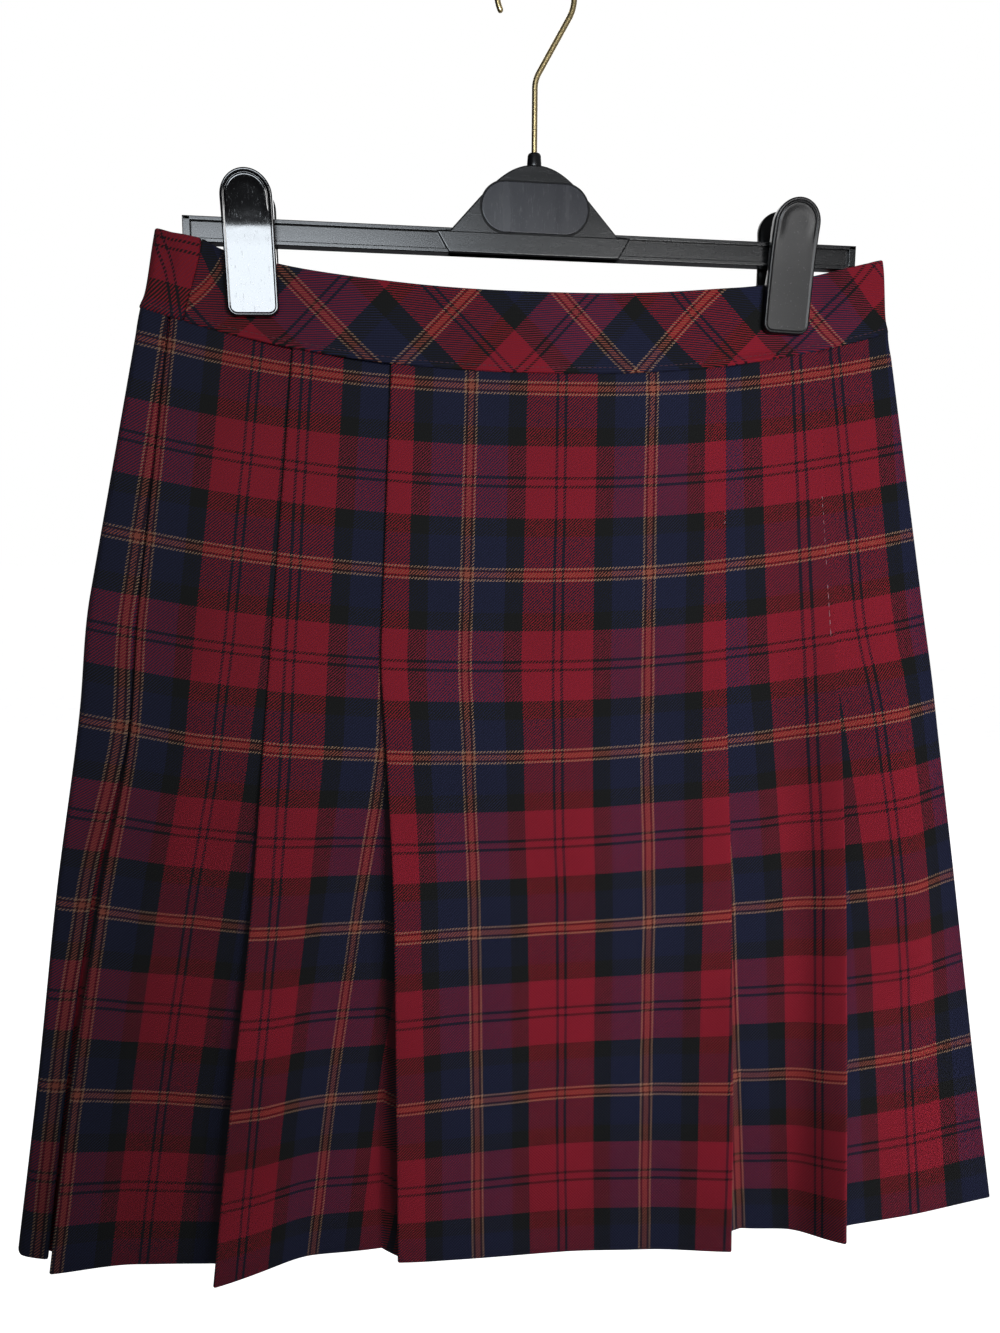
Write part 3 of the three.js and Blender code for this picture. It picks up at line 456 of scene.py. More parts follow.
def make_mesh(name, verts_mm, faces, material, cloth=None):
    mesh = bpy.data.meshes.new(name)
    mesh.from_pydata((np.asarray(verts_mm) * MM).tolist(), [], faces)
    mesh.validate()
    if cloth is not None:
        layer = mesh.attributes.new("cloth", "FLOAT_VECTOR", "POINT")
        layer.data.foreach_set("vector", np.asarray(cloth, np.float32).ravel())
    mesh.materials.append(material)
    mesh.shade_smooth()
    obj = bpy.data.objects.new(name, mesh)
    bpy.context.scene.collection.objects.link(obj)
    outward_faces(obj)
    return obj


def outward_faces(obj):
    """Turns the faces of closed parts outwards."""
    bm = bmesh.new()
    bm.from_mesh(obj.data)
    bmesh.ops.recalc_face_normals(bm, faces=bm.faces)
    bm.to_mesh(obj.data)
    bm.free()


def finish_piece(obj, slot, *nodes):
    if nodes:
        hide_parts(*nodes)
    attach(obj, "root")
    return obj


# ---------------------------------------------------------------- materials


def new_material(name):
    material = bpy.data.materials.new(name)
    material.use_nodes = True
    tree = material.node_tree
    return material, Nodes(tree), tree.nodes["Principled BSDF"]


def colour(r, g, b):
    """A colour given as it looks on a screen, 0 to 255, as a shader wants it."""
    def linear(c):
        c /= 255
        return c / 12.92 if c <= 0.04045 else ((c + 0.055) / 1.055) ** 2.4
    return (linear(r), linear(g), linear(b), 1.0)


class Nodes:
    """Short calls for a material's nodes."""

    def __init__(self, tree):
        self.tree = tree

    def add(self, kind, **settings):
        node = self.tree.nodes.new(kind)
        for key, value in settings.items():
            setattr(node, key, value)
        return node

    def link(self, a, b):
        self.tree.links.new(a, b)

    def put(self, socket, value):
        if isinstance(value, bpy.types.NodeSocket):
            self.link(value, socket)
        else:
            socket.default_value = value

    def math(self, operation, a, b=0.0):
        node = self.add("ShaderNodeMath", operation=operation)
        self.put(node.inputs[0], a)
        self.put(node.inputs[1], b)
        return node.outputs[0]

    def plus(self, a, b):
        return self.math("ADD", a, b)

    def minus(self, a, b):
        return self.math("SUBTRACT", a, b)

    def times(self, a, b):
        return self.math("MULTIPLY", a, b)

    def mix(self, factor, a, b, blend="MIX"):
        node = self.add("ShaderNodeMix", data_type="RGBA", blend_type=blend)
        self.put(node.inputs["Factor"], factor)
        self.put(node.inputs[6], a)
        self.put(node.inputs[7], b)
        return node.outputs[2]

    def ramp(self, value, stops, interpolation="LINEAR"):
        node = self.add("ShaderNodeValToRGB")
        ramp = node.color_ramp
        ramp.interpolation = interpolation
        while len(ramp.elements) < len(stops):
            ramp.elements.new(1.0)
        for element, (place, shade) in zip(ramp.elements, stops):
            element.position = place
            element.color = shade if len(shade) == 4 else (*shade, 1.0)
        self.put(node.inputs[0], value)
        return node.outputs[0]

    def clamp(self, value):
        node = self.add("ShaderNodeClamp")
        self.link(value, node.inputs[0])
        return node.outputs[0]

    def noise(self, scale, detail, vector, roughness=0.5):
        node = self.add("ShaderNodeTexNoise")
        node.inputs["Scale"].default_value = scale
        node.inputs["Detail"].default_value = detail
        node.inputs["Roughness"].default_value = roughness
        self.link(vector, node.inputs["Vector"])
        return node.outputs["Fac"]

    def bump(self, height, distance, strength):
        node = self.add("ShaderNodeBump")
        node.inputs["Distance"].default_value = distance
        node.inputs["Strength"].default_value = strength
        self.link(height, node.inputs["Height"])
        return node.outputs["Normal"]


def greys(*stops):
    """A ramp's stops in grey, each given as its place and its tone."""
    return [(place, (tone, tone, tone)) for place, tone in stops]


def darker(shade, share):
    return (*(share * c for c in shade[:3]), 1.0)


# The tartan. Half a repeat, from the middle of the fine lines to the middle of the red.
SETT_WARP = 97.0
SETT_WEFT = 97.5
WEFT_PHASE = -6.0           # the first fine line's height above the hem, past whole repeats
HALF = SETT_WARP / 2        # the bands below are placed from 0 to this
THREAD = 0.42               # from one thread to the next
RIB_HEIGHT = 1.5            # the wave that lifts warp over weft, and weft over warp
GROOVE = 0.36               # how much of each rib's side lies in shade
WARP_SHOWS = 0.36           # how far down its rib each yarn shows, before the shade is taken off
WEFT_SHOWS = 0.58
FUZZ = 1.8                  # how much the yarn's fibres fray the ribs' edges
WAVER = 1.2                 # how far the lines stray, in all
WARP_NAVY = colour(30, 34, 64)
WEFT_NAVY = colour(21, 25, 48)
BLACK = colour(19, 20, 20)
WARP_RED = colour(148, 22, 36)
WEFT_RED = colour(133, 25, 49)
RUST = colour(152, 80, 64)
MAROON = colour(58, 16, 22)
SAND = colour(152, 118, 96)
INK = colour(36, 14, 24)


def half_sett(navy, red):
    """Where each band of threads starts, and its yarn."""
    return [
        (0.0, RUST), (1.3, MAROON), (2.3, SAND), (3.5, navy),
        (20.0, BLACK), (29.6, red), (45.4, INK), (46.9, red),
    ]


def yarn(n, place, period, sett):
    """The yarn's colour at a place across the threads."""
    turned = n.math("FRACT", n.plus(n.math("DIVIDE", place, period), 0.5))
    from_line = n.times(n.math("ABSOLUTE", n.minus(turned, 0.5)), 2.0)
    return n.ramp(from_line, [(start / HALF, shade) for start, shade in sett], "CONSTANT")


def tartan(name, bias=False):
    material, n, shader = new_material(name)
    cloth = n.add("ShaderNodeAttribute", attribute_name="cloth")
    parts = n.add("ShaderNodeSeparateXYZ")
    n.link(cloth.outputs["Vector"], parts.inputs[0])
    warp, weft = parts.outputs[0], parts.outputs[1]

    # threads lie a little unevenly, so the lines waver by a fraction of a millimetre
    waver = n.noise(0.02, 3.0, cloth.outputs["Vector"])
    warp = n.plus(warp, n.times(n.minus(waver, 0.5), WAVER))
    warp_place = n.minus(warp, 0.0 if bias else HALF)
    weft_place = n.minus(weft, 0.0 if bias else WEFT_PHASE)
    warp_yarn = yarn(n, warp_place, SETT_WARP, half_sett(WARP_NAVY, WARP_RED))
    weft_yarn = yarn(n, weft_place, SETT_WEFT, half_sett(WEFT_NAVY, WEFT_RED))
    fibre = n.noise(2.2, 3.0, cloth.outputs["Vector"], 0.7)

    # 2/2 twill: the visible thread changes along diagonals, with each thread rounded
    diagonal = n.math("DIVIDE", n.minus(warp, weft), 4 * THREAD)
    wave = n.math("SINE", n.times(diagonal, 2 * math.pi))
    frayed = n.times(n.minus(fibre, 0.5), FUZZ)
    rise = n.plus(n.times(wave, RIB_HEIGHT), frayed)
    warp_up = n.clamp(n.plus(rise, WARP_SHOWS - GROOVE))
    weft_up = n.clamp(n.minus(WEFT_SHOWS - GROOVE, rise))
    # painted shade between the ribs: there the darker of the two yarns, channel by channel, stands in for the
    # shade
    groove = n.mix(1.0, warp_yarn, weft_yarn, "DARKEN")
    shade = n.mix(warp_up, n.mix(weft_up, groove, weft_yarn), warp_yarn)

    # melange of the yarn, and slow changes over the cloth
    slow = n.noise(0.012, 2.0, cloth.outputs["Vector"])
    for noise, low, high in ((fibre, (0.25, 0.74), (0.75, 1.28)), (slow, (0.3, 0.93), (0.7, 1.07))):
        shade = n.mix(1.0, shade, n.ramp(noise, greys(low, high)), "MULTIPLY")
    n.link(shade, shader.inputs["Base Color"])

    # relief: the twill's ribs, the single threads in them, and fuzz
    across = n.math("SINE", n.times(n.plus(warp, weft), math.pi / (2 * THREAD)))
    weave = n.plus(n.times(wave, 0.6), n.times(across, 0.25))
    height = n.plus(weave, n.times(fibre, 0.9))
    n.link(n.bump(height, 0.00012, 0.7), shader.inputs["Normal"])
    shader.inputs["Roughness"].default_value = 0.88
    shader.inputs["Specular IOR Level"].default_value = 0.16
    shader.inputs["Sheen Weight"].default_value = 0.06
    shader.inputs["Sheen Roughness"].default_value = 0.4
    shader.inputs["Sheen Tint"].default_value = (0.75, 0.68, 0.72, 1.0)
    return material


def plastic(name, shade, roughness, scratch, dust, stretch=(1.0, 1.0, 0.12), specular=0.5):
    """Moulded plastic: fine scratches and smears along `stretch` in its gloss, and a little dust."""
    material, n, shader = new_material(name)
    place = n.add("ShaderNodeTexCoord").outputs["Object"]
    stretched = n.add("ShaderNodeMapping")
    stretched.inputs["Scale"].default_value = stretch
    stretched.inputs["Rotation"].default_value = (0.0, 0.3, 0.0)
    n.link(place, stretched.inputs["Vector"])
    lines = n.noise(1400, 4.0, stretched.outputs["Vector"], 0.7)
    smear = n.noise(110, 3.0, stretched.outputs["Vector"])
    marks = n.ramp(lines, greys((0.60, 0.0), (0.72, 1.0)))
    rough = n.plus(roughness, n.times(marks, scratch))
    rough = n.plus(rough, n.times(n.minus(smear, 0.5), 0.5 * roughness))
    n.link(rough, shader.inputs["Roughness"])
    speck = n.ramp(n.noise(900, 2.0, place), greys((0.66, 0.0), (0.74, 1.0)))
    worn = n.mix(n.times(speck, dust), shade, colour(150, 150, 155))
    scuffed = n.mix(n.times(marks, scratch * 0.25), worn, colour(120, 122, 128))
    n.link(scuffed, shader.inputs["Base Color"])
    relief = n.plus(smear, n.times(lines, 0.1))
    n.link(n.bump(relief, 0.00008, 0.2), shader.inputs["Normal"])
    shader.inputs["Specular IOR Level"].default_value = specular
    return material


def metal(name, shade, roughness):
    material, n, shader = new_material(name)
    place = n.add("ShaderNodeTexCoord").outputs["Object"]
    tarnish = n.ramp(n.noise(260, 3.0, place), greys((0.4, 0.0), (0.8, 0.7)))
    n.link(n.mix(tarnish, shade, darker(shade, 0.72)), shader.inputs["Base Color"])
    uneven = n.times(n.noise(800, 2.0, place), 0.15)
    n.link(n.plus(roughness, uneven), shader.inputs["Roughness"])
    shader.inputs["Metallic"].default_value = 1.0
    n.link(n.bump(n.noise(2500, 2.0, place), 0.00003, 0.4), shader.inputs["Normal"])
    return material


def thread_material(name, shade):
    material, n, shader = new_material(name)
    place = n.add("ShaderNodeTexCoord").outputs["Object"]
    tone = n.noise(3000, 2.0, place)
    n.link(n.mix(tone, darker(shade, 0.6), shade), shader.inputs["Base Color"])
    shader.inputs["Roughness"].default_value = 0.7
    return material


# ---------------------------------------------------------------- skirt pieces

skirt_cloth = tartan("tartan_wool")
band_cloth = tartan("tartan_wool_bias", bias=True)


def cloth_coords(warp, weft):
    return np.stack([warp, weft, np.zeros_like(warp)], axis=-1)


HEM_STITCHES = 38.0         # the hem's blind stitches, above its edge
STITCH_RELIEF = 0.2
STITCH_WIDTH = 1.4
TUCK = 0.9                  # how far the top edge leans in behind the band
TUCK_HEIGHT = 4.0
CREASE_GAIN = 1.6           # the creases are this many times as deep as their tables say


def skirt_wall(name, centre, left, right, hand, creases):
    points, warp, weft = skirt_rows(centre, left, right, hand)
    normals = grid_normals(points)
    if hand < 0:
        normals = -normals
    # the blind stitches draw a faint line above the hem, and the top edge tucks in behind the band
    line = STITCH_RELIEF * np.exp(-((weft - HEM_STITCHES) / STITCH_WIDTH) ** 2)
    hem = line * (0.6 + 0.4 * np.sin(warp * 1.1))
    points = points + normals * (creases(warp, weft) + hem)[..., None]
    tuck = TUCK * np.exp(-((SKIRT_DROP - weft) / TUCK_HEIGHT) ** 2)
    points[..., 1] += hand * tuck
    # seen from outside the back's warp runs the other way, and the twill keeps its slant
    obj = shell_mesh(name, points, normals, CLOTH_THICK, cloth_coords(hand * warp, weft), skirt_cloth)
    finish_piece(obj, "tartan_wool", name)
    return points, warp


def soft_line(warp, weft, at, top, foot, width, depth, lean=0.0):
    """A soft trough or ridge along the warp: where it runs, how wide it is and how deep."""
    middle = at + lean * (weft - foot)
    across = np.exp(-((warp - middle) / width) ** 2)
    length = top - foot
    t = np.clip((weft - foot) / length, 0, 1)
    ends = np.sin(math.pi * t) ** 0.7 * ((weft > foot) & (weft < top))
    return depth * across * ends


# Creases of the front: warp place, top and foot above the hem, half width, depth, lean.
FRONT_CREASES = [
    (-62, 470, 250, 9, 0.5, 0), (-30, 330, 40, 13, -0.6, 0.02),
    (22, 300, 0, 16, 0.8, 0.01), (66, 250, 20, 10, -0.5, 0.03),
    (120, 480, 330, 6, 0.5, 0), (170, 460, 120, 9, -0.7, -0.02),
    (186, 300, 30, 7, 0.6, 0.02), (300, 400, 60, 8, -0.6, 0.01),
    (-170, 300, 60, 9, 0.7, 0.02), (-186, 200, 0, 7, -0.5, -0.03),
    (-290, 420, 40, 10, 0.7, 0.01), (-318, 250, 10, 7, -0.6, 0),
    (-298, 470, -60, 24, -2.3, 0), (-150, 360, -60, 20, 1.4, 0),
    (25, 420, -60, 34, -1.5, 0), (180, 300, -60, 14, 1.0, 0),
    (292, 420, -60, 22, -1.6, 0),
]
BACK_CREASES = [
    (-58, 400, 150, 12, 0.7, 0.01), (-20, 300, 20, 14, -0.7, 0.02),
    (34, 460, 180, 11, 0.6, 0), (70, 240, 10, 12, -0.6, -0.02),
    (170, 380, 70, 9, 0.6, 0.02), (-172, 330, 30, 10, -0.6, 0.01),
    (300, 350, 40, 9, 0.6, 0), (-300, 300, 60, 9, -0.5, 0.01),
    (-285, 440, -60, 20, -1.4, 0), (-165, 360, -60, 18, 1.2, 0),
    (16, 430, -60, 34, 1.4, 0), (165, 380, -60, 18, -1.2, 0),
    (290, 400, -60, 20, 1.0, 0),
]


def crease_field(table):
    def field(warp, weft):
        total = np.zeros_like(warp)
        for at, top, foot, width, depth, lean in table:
            total += CREASE_GAIN * soft_line(warp, weft, at, top, foot, width, depth, lean)
        return total
    return field


front_points, front_warp = skirt_wall(
    "skirt_front", FRONT_CENTRE, FRONT_LEFT, FRONT_RIGHT, 1, crease_field(FRONT_CREASES))
skirt_wall("skirt_back", BACK_CENTRE, BACK_LEFT, BACK_RIGHT, -1, crease_field(BACK_CREASES))

# ---------------------------------------------------------------- waistband

BAND_LEVELS = [0, 6, 34, BAND_HEIGHT]
PINCH = 1.35                # half the distance between the pinched bands
CLEAR = 5.9                 # where the band's top passes the ends of the bar
BAND_STEPS = 16
BAND_ROWS = 20
BAND_FRONT = [              # plan x and y at BAND_LEVELS, from the left side seam to the right one
    ([-167.9, -168.9, -176.8, -177.9], [-4.4, -4.2, -3, -3.2]),
    ([-159.5, -159.5, -160, -160], [-PINCH, -PINCH, -PINCH, -2.6]),
    ([-131, -131, -131, -131], [-PINCH, -PINCH, -PINCH, -3.8]),
    ([-75, -75, -75, -75], [-8, -8, -8.4, -8.8]),
    ([13, 13, 14, 14], [-11.4, -11.5, -11.8, -12]),
    ([95, 95, 97, 98], [-6, -6, -6.6, -7.6]),
    ([125, 125, 125, 125], [-PINCH, -PINCH, -PINCH, -4.2]),
    ([154.5, 154.5, 154, 154], [-PINCH, -PINCH, -PINCH, -3.4]),
    ([173, 173, 174, 174], [-CLEAR, -CLEAR, -2.8, -3]),
    ([187, 188.5, 190.5, 192], [-4.6, -4.2, -3.2, -3.1]),
    ([194, 195, 197.6, 198.7], [-1.6, -1.6, -1.6, -1.4]),
    ([194.6, 195.7, 198.2, 199.3], [0.6, 0.6, 0.5, 0.4]),
]
BAND_BACK = [               # from the left side seam, round the left end and along the back
    ([-169.8, -170.8, -178.8, -179.9], [-5.2, -5.1, -3.2, -3.4]),
    ([-177, -177.5, -184, -185.5], [-5.8, -5.7, -3.2, -3.4]),
    ([-184, -184, -189.5, -191.5], [-4.7, -4.4, -3.1, -3.2]),
    ([-189, -190, -195, -196.8], [-2.8, -2.8, -2.6, -2.6]),
    ([-190.8, -192, -197.4, -199.2], [0, 0, 0, 0]),
    ([-189, -190, -195, -196.8], [2.8, 2.8, 2.6, 2.6]),
    ([-184, -184, -186, -186], [4.8, 4.4, 2.9, 3]),
    ([-173, -173, -172, -172], [CLEAR, CLEAR, 2.6, 3.1]),
    ([-159.5, -159.5, -160, -160], [PINCH, PINCH, PINCH, 3.4]),
    ([-131, -131, -131, -131], [PINCH, PINCH, PINCH, 4]),
    ([-80, -80, -80, -80], [6, 6, 6.6, 7.2]),
    ([-14, -14, -14, -14], [8.6, 8.6, 9, 9.2]),
    ([75, 75, 75, 75], [6, 6, 6.6, 7.2]),
    ([125, 125, 125, 125], [PINCH, PINCH, PINCH, 3.6]),
    ([154.5, 154.5, 154, 154], [PINCH, PINCH, PINCH, 2.6]),
    ([173, 173, 174, 174], [CLEAR, CLEAR, 2.6, 2.6]),
    ([190.8, 191.8, 196, 197.6], [4.2, 4, 3.3, 3.1]),
]
# The front band is cut on the bias and shaped to the waist, so its tartan is straight against true
# heights: x + height of the falling lines and x - height of the rising ones, and the repeats there.
FALLING_LINES = ([-219.7, -124.3, -82.5, -38.5, 9.5, 52.9, 96, 148.5, 191.5, 330],
                 [-1, -0.305, 0, 0.305, 0.695, 1, 1.305, 1.695, 2, 3])
RISING_LINES = ([-346, -208.6, -167.2, -117.3, -72.8, -32, 14.5, 54.3, 98.5, 191.5],
                [-2, -1, -0.695, -0.305, 0, 0.305, 0.695, 1, 1.305, 2])


SAG = 0.05                  # the share of its height that the band loses at its ends
SAG_START = 150             # how far from the middle the loss begins, and over what run it grows
SAG_RUN = 40
RIPPLE = 0.12               # how deep the puckers along its seam are
ROLL = 0.6                  # how far the band's foot swells out
ROLL_HEIGHT = 5


def sag(x):
    """How much lower the band stands at its ends, where nothing holds it."""
    return SAG * min(1.0, max(0.0, abs(x) - SAG_START) / SAG_RUN) ** 2


def band_grid(table):
    drops = np.linspace(0, BAND_HEIGHT, BAND_ROWS)
    foot = smooth_line([(x[-1], y[-1]) for x, y in table], BAND_STEPS)
    rows = []
    for v in drops:
        through = [(along(BAND_LEVELS, x, v), along(BAND_LEVELS, y, v)) for x, y in table]
        plan = smooth_line(through, BAND_STEPS)
        rows.append([(p[0], p[1], seam_z(f[0]) + (BAND_HEIGHT - v) * (1 - sag(f[0])))
                     for p, f in zip(plan, foot)])
    return np.array(rows), BAND_HEIGHT - drops


def front_cut(points, heights):
    x = points[-1, :, 0][None, :] + 0 * points[..., 0]
    rise = seam_z(x) - SEAM_Z_CENTRE + heights[:, None]
    rising = np.interp(x - rise, *RISING_LINES) * SETT_WARP
    falling = np.interp(x + rise, *FALLING_LINES) * SETT_WEFT
    return cloth_coords(falling, rising)


def back_cut(points, heights):
    """The back is cut along the grain: it turns round the left end with a red square in its middle."""
    s = lengths_along(points[-1, :, :2])[None, :] + 0 * points[..., 0]
    h = heights[:, None] + 0 * s
    middle = 7 + 0.41 * (h - 12)
    return cloth_coords(-(s - middle + SETT_WARP / 2), h - 34 + SETT_WEFT / 2)


def faces_out(normals, points):
    """+1 where the grid's normals lead away from the skirt's inside, and -1 where they lead in."""
    middle = points.shape[1] // 2
    outward = -1.0 if points[0, middle, 1] < 0 else 1.0
    return 1.0 if normals[0, middle, 1] * outward > 0 else -1.0


def band(name, table, outside, cut):
    points, heights = band_grid(table)
    normals = grid_normals(points) * outside
    # faced and pressed: the band swells out a little at its foot, and ripples along its seam
    v = heights / BAND_HEIGHT
    run = np.arange(points.shape[1]) / BAND_STEPS
    ripple = RIPPLE * np.sin(run * 7.3)[None, :] * (1 - v)[:, None] ** 2
    roll = ROLL * np.exp(-(heights / ROLL_HEIGHT) ** 2)[:, None] * faces_out(normals, points)
    points = points + normals * (ripple + roll)[..., None]
    obj = shell_mesh(name, points, normals, BAND_THICK, cut(points, heights), band_cloth, rim=4)
    finish_piece(obj, "tartan_band", name)
    return points, normals


front_band, front_band_normals = band("waistband_front", BAND_FRONT, 1, front_cut)
back_band, back_band_normals = band("waistband_back", BAND_BACK, 1, back_cut)

# ---------------------------------------------------------------- sewing


def stitch_run(name, line, normals, length, gap, radius, lift, material, wander=0.0):
    """A row of stitches along a line on the cloth: each is a short bowed thread that dips at its ends."""
    line = np.asarray(line)
    normals = np.asarray(normals)
    s = lengths_along(line)
    verts, faces = [], []
    sides, rings = 5, 5
    start = gap
    while start + length < s[-1]:
        cut = length * random.uniform(1 - wander, 1 + wander)
        base = len(verts)
        for k in range(rings):
            at = start + cut * k / (rings - 1)
            centre = np.array([np.interp(at, s, line[:, i]) for i in range(3)])
            normal = unit(np.array([np.interp(at, s, normals[:, i]) for i in range(3)]))
            ahead = np.array([np.interp(at + 0.1, s, line[:, i]) for i in range(3)])
            run = unit(ahead - centre) if np.linalg.norm(ahead - centre) > 1e-6 else run
            side = np.cross(run, normal)
            rise = lift * math.sin(math.pi * k / (rings - 1)) - 0.5 * radius
            r = radius * (0.55 if k in (0, rings - 1) else 1.0)
            for j in range(sides):
                a = 2 * math.pi * j / sides
                verts.append(centre + normal * (rise + r * math.sin(a)) + side * r * math.cos(a))
        faces += stacked_faces(sides, rings, base)
        start += cut + gap * random.uniform(1 - wander, 1 + wander)
    return make_mesh(name, verts, faces, material)


seam_thread = thread_material("seam_thread", colour(92, 44, 58))
tack_thread = thread_material("tack_thread", colour(196, 150, 158))


def edge_stitch(name, points, normals, sign, height=1.9):
    """The machine stitching that runs along the band just above its seam."""
    at = height / BAND_HEIGHT * (BAND_ROWS - 1)
    low = int(math.floor(BAND_ROWS - 1 - at))
    f = (BAND_ROWS - 1 - at) - low
    line = points[low] * (1 - f) + points[low + 1] * f
    outside = normals[low] * sign
    obj = stitch_run(name, line + outside * BAND_THICK / 2, outside, 2.0, 0.8, 0.17, 0.12, seam_thread, 0.08)
    finish_piece(obj, "tartan_band")


edge_stitch("edge_stitch_front", front_band, front_band_normals, faces_out(front_band_normals, front_band))
edge_stitch("edge_stitch_back", back_band, back_band_normals, faces_out(back_band_normals, back_band))


def tacking(name, warp_place, top, foot, length, gap, radius):
    """Loose hand stitches left along a fold."""
    normals = grid_normals(front_points)
    sign = faces_out(normals, front_points)
    line, out = [], []
    for row in range(front_points.shape[0]):
        drop = SKIRT_DROP * row / (front_points.shape[0] - 1)
        if top <= drop <= foot:
            column = int(np.argmin(np.abs(front_warp[row] - warp_place)))
            normal = normals[row, column] * sign
            line.append(front_points[row, column] + normal * CLOTH_THICK / 2)
            out.append(normal)
    obj = stitch_run(name, line, out, length, gap, radius, 0.25, tack_thread, 0.35)
    finish_piece(obj, "tartan_wool")


tacking("tacking_right_upper", 203.5, 76, 118, 2.6, 2.4, 0.13)
tacking("tacking_right_lower", 204.0, 124, 160, 3.2, 1.6, 0.2)
tacking("tacking_centre", 88.5, 74, 88, 1.6, 2.2, 0.16)

# ---------------------------------------------------------------- hanger: sizes

HOOK_WIRE = 3.0
HOOK_RADIUS = 20.0
HOOK_BEND_Z = -59.0
HOOK_FOOT_Z = -108.0
HOOK_END_ANGLE = 205.0
BAR_HALF = 178.0
BAR_TOP_Z = -134.0
BAR_HEIGHT = 12.5
BAR_DEPTH = 8.0
BAR_LEDGE = 2.2
BAR_RECESS = 2.0
CREST_HALF = 44.0
CREST_TOP_Z = -101.5
CREST_PROUD = 0.5
FLANK_X = 28.5
FLANK_DROP = 16.5
NECK_TOP_Z = -94.8
NECK_RADIUS = 3.8
BADGE_WIDTH = 56.0
BADGE_HEIGHT = 25.0
BADGE_Z = -123.0
CLIP_WIDTH = 25.5
CLIP_TOP_Z = -113.5
CLIP_BOTTOM_Z = -182.0
CLIP_X = {"left": -145.5, "right": 140.0}
CLIP_TILT = {"left": 0.03, "right": -0.035}

bar_plastic = plastic("bar_plastic", colour(19, 20, 22), 0.26, 0.10, 0.2, (0.08, 1.0, 1.0))
badge_face = plastic("badge_face", colour(34, 36, 46), 0.26, 0.12, 0.15)
# painted shade: near-black plastic for the plate that stands in for the shadow in the gap round the badge
painted_gap_shade = plastic("painted_gap_shade", colour(2, 2, 3), 0.8, 0.05, 0.0)
gloss_plastic = plastic("clip_gloss_plastic", colour(12, 12, 14), 0.09, 0.22, 0.2)
satin_plastic = plastic("clip_satin_plastic", colour(17, 17, 19), 0.34, 0.12, 0.2, specular=0.25)
brass = metal("hook_brass", colour(226, 204, 150), 0.22)
steel = metal("spring_steel", colour(196, 198, 200), 0.28)

# ---------------------------------------------------------------- hanger: plates and rings


def densify(outline, step):
    """A closed outline with its long sides cut into pieces of about `step`."""
    result = []
    count = len(outline)
    for i in range(count):
        a, b = np.array(outline[i]), np.array(outline[(i + 1) % count])
        pieces = max(1, int(np.linalg.norm(b - a) / step))
        result += [a + (b - a) * k / pieces for k in range(pieces)]
    return np.array(result)


def offset_outline(outline, inset):
    """A closed outline moved inwards by `inset`, its corners mitred."""
    before = np.roll(outline, 1, axis=0)
    after = np.roll(outline, -1, axis=0)
    u = unit_rows(outline - before)
    w = unit_rows(after - outline)
    area = 0.5 * np.sum(outline[:, 0] * after[:, 1] - after[:, 0] * outline[:, 1])
    turned = unit_rows(u + w)
    inward = np.column_stack([-turned[:, 1], turned[:, 0]]) * np.sign(area)
    cos_half = np.maximum(np.sum(u * turned, axis=1), 0.5)
    return outline + inward * (inset / cos_half)[:, None]


def plate(outline, y_front, y_back, bevel, steps=3):
    """A flat plate in X and Z between two depths, its edges rounded: vertices and faces."""
    turns = [math.pi / 2 * k / steps for k in range(steps + 1)]
    rings = [(bevel * (1 - math.sin(a)), y_front + bevel * (1 - math.cos(a))) for a in turns]
    rings += [(bevel * (1 - math.cos(a)), y_back - bevel * (1 - math.sin(a))) for a in turns]
    verts = [(x, y, z) for inset, y in rings for x, z in offset_outline(outline, inset)]
    return verts, stacked_faces(len(outline), len(rings))


def rounded_outline(half_width, top, bottom, r, steps):
    """The outline of a box in X and Z whose corners have the radius r."""
    points = []
    corners = [(half_width - r, bottom + r), (half_width - r, top - r),
               (-half_width + r, top - r), (-half_width + r, bottom + r)]
    for corner, (cx, cz) in enumerate(corners):
        for k in range(steps + 1):
            a = math.radians(90 * (corner - 1) + 90 * k / steps)
            points.append((cx + r * math.cos(a), cz + r * math.sin(a)))
    kept = [p for i, p in enumerate(points) if np.linalg.norm(np.subtract(p, points[i - 1])) > 1e-6]
    return np.array(kept)


def box_outline(x0, x1, z0, z1):
    return np.array([(x0, z0), (x1, z0), (x1, z1), (x0, z1)])


def gather(parts):
    verts, faces = [], []
    for part_verts, part_faces in parts:
        base = len(verts)
        verts += [tuple(v) for v in part_verts]
        faces += [[base + i for i in face] for face in part_faces]
    return verts, faces


def flat_shaded(obj):
    """Keeps the big faces flat and lets the small rounded edges take up the turn of the light."""
    modifier = obj.modifiers.new("normals", "WEIGHTED_NORMAL")
    modifier.weight = 100
    return obj


def lathe(profile, steps=24):
    """A solid turned round Z from (radius, z) pairs that start and end on the axis."""
    inner = profile[1:-1]
    verts = [(0.0, 0.0, profile[0][1])]
    for r, z in inner:
        for k in range(steps):
            a = 2 * math.pi * k / steps
            verts.append((r * math.cos(a), r * math.sin(a), z))
    verts.append((0.0, 0.0, profile[-1][1]))
    faces = [[0, 1 + (k + 1) % steps, 1 + k] for k in range(steps)]
    for ring in range(len(inner) - 1):
        a, b = 1 + ring * steps, 1 + (ring + 1) * steps
        faces += join_rings(list(range(a, a + steps)), list(range(b, b + steps)))
    last, end = 1 + (len(inner) - 1) * steps, len(verts) - 1
    faces += [[last + k, last + (k + 1) % steps, end] for k in range(steps)]
    return verts, faces


# ---------------------------------------------------------------- hanger: bar, badge and hook


